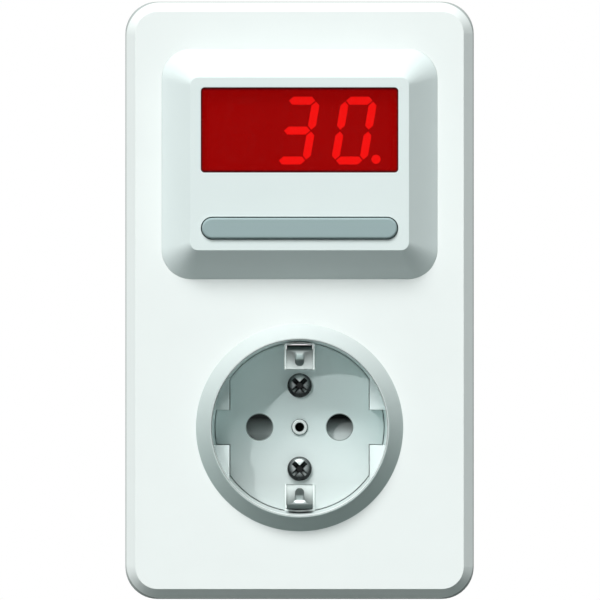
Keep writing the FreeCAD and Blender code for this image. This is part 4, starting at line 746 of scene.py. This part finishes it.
class OUTLET_OT_return_springs(OutletOperator):
    """Winds the two return springs of the button"""

    bl_idname = "outlet.return_springs"
    bl_label = "Return Springs"

    def execute(self, context):
        sizes = context.scene.outlet_coils
        low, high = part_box("button_springs")
        wire = sizes.return_wire
        outer = high.z - low.z
        middle_z = (low.z + high.z) / 2
        rise = high.y - low.y - wire
        coils = []
        for x in (low.x + outer / 2, high.x - outer / 2):
            start = Vector((x, low.y + wire / 2, middle_z))
            coils.append(wound_wire((outer - wire) / 2, wire, sizes.return_turns, rise, start))
        steel = metal("spring_steel", SPRING_STEEL, roughness=0.28)
        springs = settle(joined(coils), "return_springs", steel)
        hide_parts("button_springs")
        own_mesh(springs)
        return {"FINISHED"}


class OUTLET_OT_key_switch(OutletOperator):
    """Finishes the key switch under the button"""

    bl_idname = "outlet.key_switch"
    bl_label = "Key Switch"

    def execute(self, context):
        body = moulded("switch_black", SWITCH_BLACK, roughness=0.45)
        tinned_leads(body, body.leads())
        dress(body, "key_switch")
        dress(moulded("plunger_black", BLACK, roughness=0.4), "switch_plunger")
        dress(metal("switch_lid", SWITCH_LID, roughness=0.3, stretch=(6.0, 1.0, 1.0)), "switch_cover")
        return {"FINISHED"}


def relay_bobbin(low, high, sink):
    """Bobbin along X whose middle is sunk between its two flanges."""
    middle = (low + high) / 2
    clear_selection()
    bpy.ops.mesh.primitive_cylinder_add(
        vertices=48, radius=(high.z - low.z) / 2, depth=high.x - low.x, location=middle, rotation=ALONG_X
    )
    bobbin = bpy.context.object
    apply_place(bobbin)
    bpy.ops.object.mode_set(mode="EDIT")
    for x in (low.x + BOBBIN_FLANGE, high.x - BOBBIN_FLANGE):
        bpy.ops.mesh.select_all(action="SELECT")
        bpy.ops.mesh.bisect(plane_co=(x, 0.0, 0.0), plane_no=(1.0, 0.0, 0.0))
    hub = (high.x - low.x) / 2 - BOBBIN_FLANGE
    choose_faces(bobbin, lambda face: abs(face.normal.x) < 0.5 and abs(face.center.x - middle.x) < hub)
    bpy.ops.mesh.extrude_region_shrink_fatten(TRANSFORM_OT_shrink_fatten={"value": -sink})
    close_up()
    return bobbin


class OUTLET_OT_relay(OutletOperator):
    """Finishes the relay and winds its coil"""

    bl_idname = "outlet.relay"
    bl_label = "Relay"

    def execute(self, context):
        base = moulded("relay_base_black", BLACK, roughness=0.5)
        tinned_leads(base, base.leads())
        dress(base, "relay_base")
        dress(moulded("relay_blue", RELAY_BLUE, roughness=0.35), "relay_case")
        iron = metal("soft_iron", SOFT_IRON, roughness=0.38, stretch=(8.0, 1.0, 1.0))
        dress(iron, "relay_yoke", "relay_armature")
        dress(metal("contact_brass", context.scene.outlet_metals.brass, roughness=0.3), "relay_contacts")

        wire = context.scene.outlet_coils.winding_wire
        low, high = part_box("relay_coil")
        middle = (low + high) / 2
        outer = (high.z - low.z) / 2 - BOBBIN_LIP
        bobbin = relay_bobbin(low, high, sink=BOBBIN_LIP + wire * 0.7)
        span = high.x - low.x - 2 * BOBBIN_FLANGE - wire
        coil = wound_wire(outer - wire / 2, wire, int(span / wire), span, Vector(), sides=8, steps=20)
        coil.rotation_euler = (0.0, 0.0, -math.pi / 2)
        coil.location = (low.x + BOBBIN_FLANGE + wire / 2, middle.y, middle.z)
        copper = metal("enamelled_copper", COPPER, roughness=0.3, wear=0.35)
        settle(coil, "relay_winding", copper)
        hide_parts("relay_coil")
        settle(bobbin, "relay_bobbin", moulded("bobbin_white", BOBBIN_WHITE, roughness=0.5))
        return {"FINISHED"}


class OUTLET_OT_board_parts(OutletOperator):
    """Finishes the small parts on the circuit board"""

    bl_idname = "outlet.board_parts"
    bl_label = "Board Parts"

    def execute(self, context):
        for node, name, colour, roughness in (
            ("film_capacitor", "film_yellow", (0.62, 0.42, 0.05), 0.35),
            ("varistor", "varistor_blue", (0.03, 0.14, 0.4), 0.45),
            ("fuse", "fuse_brown", (0.16, 0.035, 0.015), 0.4),
        ):
            finish = moulded(name, colour, roughness)
            tinned_leads(finish, finish.leads())
            dress(finish, node)
        dress(moulded("chip_black", BLACK, roughness=0.55), "microcontroller")
        dress(metal("chip_legs", TINNED_PINS, roughness=0.28), "controller_legs")

        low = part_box("smoothing_capacitor")[0] / MM
        sleeve = moulded("capacitor_sleeve", SLEEVE, roughness=0.3)
        stripe = sleeve.within(sleeve.axis("X"), low.x + CAPACITOR_STRIPE, soft=0.025)
        sleeve.tint(stripe, SLEEVE_STRIPE)
        lid = sleeve.within(sleeve.axis("Y"), low.y + CAPACITOR_LID, soft=0.01)
        tinned_leads(sleeve, sleeve.sum("MAXIMUM", sleeve.leads(), lid))
        dress(sleeve, "smoothing_capacitor")

        diode = moulded("diode_black", BLACK, roughness=0.35)
        diode.tint(diode.within(diode.off("X", DIODE_RING_AT), DIODE_RING_HALF, soft=0.025), DIODE_RING)
        tinned_leads(diode, diode.beyond(diode.off("X", DIODE_MIDDLE), DIODE_HALF, soft=0.01))
        dress(diode, "rectifier_diodes")

        resistor = moulded("resistor_blue", RESISTOR_BLUE, roughness=0.4)
        along = resistor.sum("SUBTRACT", resistor.off("X", RESISTOR_ROW), RESISTOR_MIDDLE)
        for middle, colour in RESISTOR_BANDS:
            away = resistor.apart(along, middle)
            resistor.tint(resistor.within(away, RESISTOR_BAND_HALF, soft=0.015), colour)
        ends = resistor.beyond(resistor.sum("ABSOLUTE", along), RESISTOR_HALF, soft=0.01)
        tinned_leads(resistor, ends)
        dress(resistor, "resistors")
        return {"FINISHED"}


class OUTLET_OT_board(OutletOperator):
    """Finishes the circuit board and solders its leads"""

    bl_idname = "outlet.board"
    bl_label = "Circuit Board"

    def execute(self, context):
        board = moulded("board_green", BOARD_GREEN, roughness=0.4, edge=0.0001)
        for across, along in (("Z", "X"), ("X", "Z")):
            row = board.sum("SNAP", board.axis(across), TRACK_PITCH)
            off = board.apart(board.axis(across), board.sum("ADD", row, TRACK_PITCH / 2))
            run = board.sum("MULTIPLY", board.axis(along), 0.09)
            spot = board.add("ShaderNodeCombineXYZ", {"X": row, "Y": run}).outputs[0]
            noise = board.add("ShaderNodeTexNoise", {"Vector": spot, "Scale": 1.0, "Detail": 0.0})
            there = board.beyond(noise.outputs[0], 0.55, soft=0.01)
            track = board.within(off, TRACK_HALF, soft=0.02)
            board.tint(board.overlap(track, there), TRACK_GREEN)
        dress(board, "circuit_board")

        height = context.scene.outlet_coils.joint_height
        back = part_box("circuit_board")[1].y
        clear_selection()
        bpy.ops.mesh.primitive_cone_add(
            vertices=14, radius1=JOINT_FOOT, radius2=JOINT_TIP, depth=height,
            location=(0.0, height / 2, 0.0), rotation=(-math.pi / 2, 0.0, 0.0),
        )
        joint = bpy.context.object
        apply_place(joint)
        open_up()
        bpy.ops.mesh.bisect(plane_co=(0.0, height * 0.35, 0.0), plane_no=(0.0, 1.0, 0.0))
        bpy.ops.transform.resize(value=(0.78, 1.0, 0.78))
        bpy.ops.object.mode_set(mode="OBJECT")
        ends = lead_ends(
            "display_pins", "key_switch", "relay_base", "film_capacitor", "smoothing_capacitor", "varistor",
            "fuse", "rectifier_diodes", "resistors", "supply_wire", "switched_wire", "neutral_wire",
        )
        places = [(end.x, back, end.z) for end in ends if abs(end.y - back - LEAD_LENGTH) <= 0.1 * MM]
        solder = metal("solder", SOLDER, roughness=0.25, edge=0.00005)
        settle(spread_out(joint, places), "solder_joints", solder)
        return {"FINISHED"}


class OUTLET_OT_rear_cover(OutletOperator):
    """Finishes the rear cover and the screws through it"""

    bl_idname = "outlet.rear_cover"
    bl_label = "Rear Cover"

    def execute(self, context):
        inside = context.scene.outlet_mouldings.inside
        dress(moulded("cover_white", inside, roughness=0.5, grain=0.0005, depth=0.00001), "rear_cover")
        dress(metal("case_screw_zinc", context.scene.outlet_metals.zinc, roughness=0.3), "case_screws")
        return {"FINISHED"}


class OUTLET_OT_socket_face(OutletOperator):
    """Finishes the floor of the recess with its liners, rivet and inserts"""

    bl_idname = "outlet.socket_face"
    bl_label = "Socket Face"

    def execute(self, context):
        look = context.scene.outlet_mouldings
        metals = context.scene.outlet_metals
        floor = white_moulding("floor_white", look.floor_low)
        # Painted light and shade: the floor is lighter towards its upper end.
        floor.tint(floor.spread(floor.axis("Z"), 0.0, 1.0, *FLOOR_FADE), look.floor_high)
        # Painted shade round the pin holes.
        for x in PIN_HOLES:
            edge = floor.apart(floor.radius(x), PIN_HOLE_RADIUS)
            floor.tint(floor.spread(edge, look.hole_shade, 0.0, *PIN_HOLE_RIM), look.dust)
        dress(floor, "socket_face")

        liner = metal("liner_nickel", metals.liner, roughness=0.42, wear=0.08, depth=0.000001, Metallic=0.8)
        # Painted shade in the liners' pockets, darker towards their outer ends.
        pocket = liner.beyond(liner.axis("Y"), LINER_POCKET_FROM)
        shade = liner.spread(liner.off("Z"), 0.1, 0.8, *LINER_FADE)
        liner.tint(liner.overlap(pocket, shade), metals.tarnish)
        dress(liner, "clip_liners")

        rivet = metal("rivet_bright", metals.rivet, roughness=0.35, wear=0.08)
        # Painted shade round the rivet and in its bore.
        rivet.tint(rivet.beyond(rivet.radius(), RIVET_RIM, soft=0.06), look.dust)
        rivet.tint(rivet.within(rivet.radius(), RIVET_BORE, soft=0.04), look.dust)
        dress(rivet, "central_rivet")
        brass = metal("insert_brass", metals.brass, roughness=0.35, wear=0.12, depth=0.000001)
        dress(brass, "threaded_inserts")
        return {"FINISHED"}


def domed_head(sizes, front, radius):
    """Round screw head along Y with a straight rim and a domed front."""
    rim = front + sizes.dome
    reached = rim + sizes.rim
    clear_selection()
    bpy.ops.mesh.primitive_circle_add(
        vertices=48, radius=radius, fill_type="NGON", location=(0.0, reached, 0.0), rotation=ALONG_Y
    )
    head = bpy.context.object
    apply_place(head)
    open_up()
    rings = [(rim, radius)]
    fullness, least = 0.75, 0.05 * MM
    for part in (0.2, 0.4, 0.6, 0.78, 0.92, 1.0):
        bend = part * math.pi / 2
        rings.append((rim - sizes.dome * math.sin(bend), max(radius * math.cos(bend) ** fullness, least)))
    for y, ring in rings:
        extrude_along_y(y - reached, ring / radius, ring / radius, y)
        reached, radius = y, ring
    close_up()
    return head


def cut_cross(head, sizes, front):
    """Cuts the two tapered arms of the cross into a screw head."""
    over, thick = 0.3 * MM, 0.2 * MM
    arms = []
    for turn in (45, 135):
        clear_selection()
        lift = thick / 2 + turn * 0.0001 * MM  # the arms end at slightly different levels, for a clean cut
        bpy.ops.mesh.primitive_cube_add(size=1.0, location=(0.0, front - lift, 0.0))
        arm = bpy.context.object
        arm.scale = (sizes.cross_span + over, thick, sizes.cross_slot)
        apply_place(arm)
        choose_faces(arm, lambda face: face.normal.y > 0.9)
        extrude_along_y(sizes.cross_depth, 0.3, 0.6, front + sizes.cross_depth)
        bpy.ops.object.mode_set(mode="OBJECT")
        arm.rotation_euler = (0.0, math.radians(turn), 0.0)
        apply_place(arm)
        arms.append(arm)
    for arm in arms:
        pick(head)
        bpy.ops.object.modifier_add(type="BOOLEAN")
        cut = head.modifiers[-1]
        cut.operation = "DIFFERENCE"
        cut.object = arm
        bpy.ops.object.modifier_apply(modifier=cut.name)
        bpy.data.objects.remove(arm)


def screw_finish(pitch):
    """Blacking with painted shade on the rim and in the cross, and painted highlight above the cross and on
    the floors of its lower arms.
    """
    metals = bpy.context.scene.outlet_metals
    black = metal(
        "screw_black", metals.cover_screws, roughness=0.3, wear=0.3, edge=0.00008,
        Metallic=0.25, Specular_IOR_Level=0.2,
    )
    level = black.axis("Z")
    up = black.sum("SUBTRACT", level, black.sum("MULTIPLY", black.sum("SIGN", level), pitch / 2 / MM))
    side = black.off("X")
    tall = black.sum("ABSOLUTE", up)
    away = black.distance(black.sum("SUBTRACT", up, HIGHLIGHT_HEIGHT), side)
    # Painted shade on the rim of each head, darkest below.
    black.tint(black.spread(away, 0.0, 0.95, *SCREW_RIM_SHADE), metals.black)

    # Painted highlight in a wedge above the cross.
    above = black.sum("SUBTRACT", up, black.sum("MULTIPLY", side, 1.15))
    wedge = black.beyond(above, HIGHLIGHT_HEIGHT, soft=0.25)
    black.tint(black.overlap(wedge, black.within(away, HIGHLIGHT_REACH, soft=0.3)), metals.worn)

    # An arm runs at half a right angle, so its two ways are the sum and the difference of side and height
    across = black.sum("MULTIPLY", black.apart(side, tall), math.sqrt(0.5))
    along = black.sum("MULTIPLY", black.sum("ADD", side, tall), math.sqrt(0.5))
    tip = black.within(along, ARM_TIP, soft=0.075)
    # Painted shade in the cross.
    black.tint(black.overlap(black.within(across, ARM_HALF, soft=0.07), tip), metals.black)
    # Painted light on the floors of the lower arms.
    floors = black.within(across, ARM_FLOOR_HALF, soft=0.16)
    outwards = black.spread(along, 0.0, 0.45, *ARM_LIGHT)
    lower = black.within(up, LOWER_ARMS, soft=0.15)
    black.tint(black.overlap(floors, tip, outwards, lower), metals.worn)
    return black


class OUTLET_OT_cover_screws(OutletOperator):
    """Turns the two blackened cover screws and cuts the tapered cross in their domed heads"""

    bl_idname = "outlet.cover_screws"
    bl_label = "Cover Screws"

    def execute(self, context):
        sizes = context.scene.outlet_screws
        low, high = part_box("cover_screws")
        across = high.x - low.x
        middle_z = (low.z + high.z) / 2
        pitch = high.z - low.z - across
        head = domed_head(sizes, low.y, across / 2)
        cut_cross(head, sizes, low.y)
        shank_start = Vector((0.0, low.y + sizes.dome + sizes.rim - 0.2 * MM, 0.0))
        shank_end = Vector((0.0, high.y, 0.0))
        shank = round_bar(sizes.shank, shank_start, shank_end, sides=24, rounding=0.25 * MM)
        places = [(0.0, 0.0, middle_z + side * pitch / 2) for side in (-1, 1)]
        screws = spread_out(joined([head, shank]), places)
        settle(screws, "cross_screws", screw_finish(pitch))
        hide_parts("cover_screws")
        return {"FINISHED"}


class OUTLET_OT_shutter(OutletOperator):
    """Finishes the safety shutter and winds its spring"""

    bl_idname = "outlet.shutter"
    bl_label = "Safety Shutter"

    def execute(self, context):
        sizes = context.scene.outlet_coils
        shutter = moulded("shutter_grey", context.scene.outlet_mouldings.shutter, roughness=0.5)
        # Painted shadow: the shutter is painted black above the middle of the pin holes.
        shutter.tint(shutter.spread(shutter.axis("Z"), 0.0, 1.0, *SHUTTER_FADE), PIN_HOLE_SHADE)
        dress(shutter, "safety_shutter")

        low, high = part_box("shutter_spring")
        wire = sizes.shutter_wire
        radius = (high.x - low.x - wire) / 2
        start_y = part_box("safety_shutter")[1].y - SPRING_SEAT
        end_y = high.y - SPRING_HOOK
        start = Vector((0.0, start_y + wire / 2, 0.0))
        coil = wound_wire(radius, wire, sizes.shutter_turns + 0.5, end_y - start_y - wire, start, steps=32)
        far, near = (
            round_bar(wire, Vector((x, from_y, 0.0)), Vector((x, to_y, 0.0)), sides=10, rounding=wire / 5)
            for x, from_y, to_y in ((-radius, end_y - wire, high.y), (radius, low.y, start_y + wire))
        )
        steel = metal("shutter_spring_steel", SPRING_STEEL, roughness=0.28)
        settle(near, "shutter_spring_leg", steel, "shutter")
        spring = settle(joined([coil, far]), "shutter_spring_coil", steel)
        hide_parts("shutter_spring")
        return {"FINISHED"}


class OUTLET_OT_socket_base(OutletOperator):
    """Finishes the moulded base behind the socket"""

    bl_idname = "outlet.socket_base"
    bl_label = "Socket Base"

    def execute(self, context):
        base = moulded("base_thermoset", THERMOSET, roughness=0.6, grain=0.0006, depth=0.00001)
        dress(base, "socket_base", "base_rear_cover")
        dress(metal("base_screw_zinc", context.scene.outlet_metals.zinc, roughness=0.3), "base_screws")
        return {"FINISHED"}


class OUTLET_OT_contacts(OutletOperator):
    """Finishes the contacts, strips and terminals"""

    bl_idname = "outlet.contacts"
    bl_label = "Contacts"

    def execute(self, context):
        metals = context.scene.outlet_metals
        brass = metal(
            "strip_brass", metals.brass, roughness=0.32, stretch=(1.0, 1.0, 6.0), wear=0.12, depth=0.0000008
        )
        dress(brass, "line_contact", "neutral_contact", "supply_strip")
        dress(metal("terminal_zinc", metals.zinc, roughness=0.3), "terminal_screws", "clamp_washers")
        return {"FINISHED"}


class OUTLET_OT_earth_strap(OutletOperator):
    """Finishes the plated earth strap, with painted shade on its two clips"""

    bl_idname = "outlet.earth_strap"
    bl_label = "Earth Strap"

    def execute(self, context):
        metals = context.scene.outlet_metals
        nickel = Finish("strap_nickel", Metallic=1.0)
        nickel.drive("Base Color", nickel.clouded(metals.strap, size=0.004, fade=0.9))
        nickel.drive("Roughness", nickel.spread(nickel.noise(0.002, stretch=(1.0, 4.0, 4.0)), 0.36, 0.44))
        # Painted shade on the clips: at their roots, along their flanks and towards their tips.
        clip = nickel.within(nickel.axis("Y"), 0.0, soft=0.5)
        level = nickel.off("Z")
        root = nickel.spread(level, 0.0, 0.9, *CLIP_ROOT)
        flank = nickel.spread(nickel.off("X"), 0.0, 0.7, *CLIP_FLANK)
        bend = nickel.spread(level, 0.6, 0.0, *CLIP_BEND)
        shaded = nickel.sum("MAXIMUM", bend, nickel.sum("MAXIMUM", root, flank))
        nickel.tint(nickel.overlap(clip, shaded), metals.tarnish)
        dress(nickel, "earth_strap")
        return {"FINISHED"}


class OUTLET_OT_mounting_frame(OutletOperator):
    """Finishes the zinc plated mounting frame"""

    bl_idname = "outlet.mounting_frame"
    bl_label = "Mounting Frame"

    def execute(self, context):
        zinc = context.scene.outlet_metals.zinc
        finish = metal("frame_zinc", zinc, roughness=0.36, stretch=(1.0, 1.0, 10.0), wear=0.3, depth=0.000006)
        spangles = finish.add("ShaderNodeTexVoronoi", {"Vector": finish.place, "Scale": 260.0})
        level = finish.add("ShaderNodeSeparateColor", {"Color": spangles.outputs["Color"]}).outputs[0]
        finish.tint(finish.spread(level, 0.0, 0.35, start=0.0, end=1.0), SPANGLE)
        dress(finish, "mounting_frame")
        return {"FINISHED"}


class OUTLET_OT_wires(OutletOperator):
    """Finishes the three insulated wires with their bare ends"""

    bl_idname = "outlet.wires"
    bl_label = "Wires"

    def execute(self, context):
        for node, name, colour in (
            ("supply_wire", "insulation_brown", (0.12, 0.045, 0.02)),
            ("switched_wire", "insulation_black", DEEP_BLACK),
            ("neutral_wire", "insulation_blue", (0.02, 0.1, 0.45)),
        ):
            finish = moulded(name, colour, roughness=0.38, grain=0.0006, depth=0.000006)
            ends = finish.beyond(finish.axis("Z"), WIRE_ENDS_FROM)
            tinned_leads(finish, finish.overlap(finish.leads(), ends))
            dress(finish, node)
        return {"FINISHED"}


def pale_floor(sizes, height):
    """Wide round floor that looks pale and throws little colour back."""
    clear_selection()
    middle = (0.0, 0.0, height)
    bpy.ops.mesh.primitive_circle_add(vertices=96, radius=0.9, fill_type="NGON", location=middle)
    floor = bpy.context.object
    bpy.ops.object.mode_set(mode="EDIT")
    bpy.ops.mesh.inset(thickness=0.2)
    bpy.ops.object.mode_set(mode="OBJECT")
    floor.name = "floor"
    pale = Finish("pale_floor", Roughness=0.7)
    shown = pale.clouded(sizes.floor, size=0.2, fade=0.98)
    pale.drive("Base Color", pale.blend(seen(pale.tree), sizes.bounce, shown))
    floor.data.materials.append(pale.material)
    floor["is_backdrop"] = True


def studio_world(context, ambient):
    """White background that lights the outlet with the ambient colour alone."""
    world = bpy.data.worlds.new("studio")
    context.scene.world = world
    world.use_nodes = True
    tree = world.node_tree
    around = tree.nodes["Background"]
    around.inputs["Color"].default_value = (*ambient, 1.0)
    around.inputs["Strength"].default_value = 1.0
    white = tree.nodes.new("ShaderNodeBackground")
    white.inputs["Color"].default_value = (1.0, 1.0, 1.0, 1.0)
    mix = tree.nodes.new("ShaderNodeMixShader")
    tree.links.new(seen(tree), mix.inputs[0])
    tree.links.new(around.outputs[0], mix.inputs[1])
    tree.links.new(white.outputs[0], mix.inputs[2])
    tree.links.new(mix.outputs[0], tree.nodes["World Output"].inputs["Surface"])


class OUTLET_OT_stage(OutletOperator):
    """Sets the floor, the lights and the camera"""

    bl_idname = "outlet.stage"
    bl_label = "Stage"

    def execute(self, context):
        sizes = context.scene.outlet_stage
        pale_floor(sizes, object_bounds()[0].z - sizes.floor_drop)
        for name in ("key", "side", "top", "front", "back"):
            way = Vector(getattr(sizes, name))
            clear_selection()
            bpy.ops.object.light_add(type="SUN", location=way * 2)
            lamp = bpy.context.object
            lamp.name = name + "_light"
            lamp.rotation_euler = (-way).to_track_quat("-Z", "Y").to_euler()
            lamp.data.energy = math.pi * way.length
            lamp.data.angle = getattr(sizes, name + "_angle")
        studio_world(context, sizes.ambient)

        distance = sizes.focal * sizes.view_width / SENSOR_WIDTH
        clear_selection()
        stand = Vector(sizes.aim) - Vector((0.0, distance, 0.0))
        bpy.ops.object.camera_add(location=stand, rotation=ALONG_Y)
        camera = bpy.context.object
        camera.name = "front_camera"
        camera.data.lens = sizes.focal
        camera.data.sensor_width = SENSOR_WIDTH
        camera.data.clip_end = distance * 2
        context.scene.camera = camera
        context.scene.view_settings.view_transform = "Standard"
        return {"FINISHED"}


OPERATORS = [
    OUTLET_OT_wall_plate,
    OUTLET_OT_timer_bezel,
    OUTLET_OT_display,
    OUTLET_OT_push_button,
    OUTLET_OT_return_springs,
    OUTLET_OT_key_switch,
    OUTLET_OT_relay,
    OUTLET_OT_board_parts,
    OUTLET_OT_board,
    OUTLET_OT_rear_cover,
    OUTLET_OT_socket_face,
    OUTLET_OT_cover_screws,
    OUTLET_OT_shutter,
    OUTLET_OT_socket_base,
    OUTLET_OT_contacts,
    OUTLET_OT_earth_strap,
    OUTLET_OT_mounting_frame,
    OUTLET_OT_wires,
    OUTLET_OT_stage,
]


class OUTLET_PT_parts(bpy.types.Panel):
    """Sizes, colours and parts of the outlet"""

    bl_label = "Countdown Timer Outlet"
    bl_space_type = "VIEW_3D"
    bl_region_type = "UI"
    bl_category = "Outlet"

    def draw(self, context):
        for group in GROUPS:
            box = self.layout.box()
            box.label(text=group.replace("_", " ").title())
            settings = getattr(context.scene, group)
            for name in settings.__annotations__:
                box.prop(settings, name)
        for operator in OPERATORS:
            self.layout.operator(operator.bl_idname)


CLASSES = [*GROUPS.values(), *OPERATORS, OUTLET_PT_parts]


def register():
    for item in CLASSES:
        bpy.utils.register_class(item)
    for name, group in GROUPS.items():
        setattr(bpy.types.Scene, name, PointerProperty(type=group))


def unregister():
    for name in GROUPS:
        delattr(bpy.types.Scene, name)
    for item in reversed(CLASSES):
        bpy.utils.unregister_class(item)


def main():
    register()
    for operator in OPERATORS:
        group, name = operator.bl_idname.split(".")
        getattr(getattr(bpy.ops, group), name)()


if __name__ == "__main__":
    main()
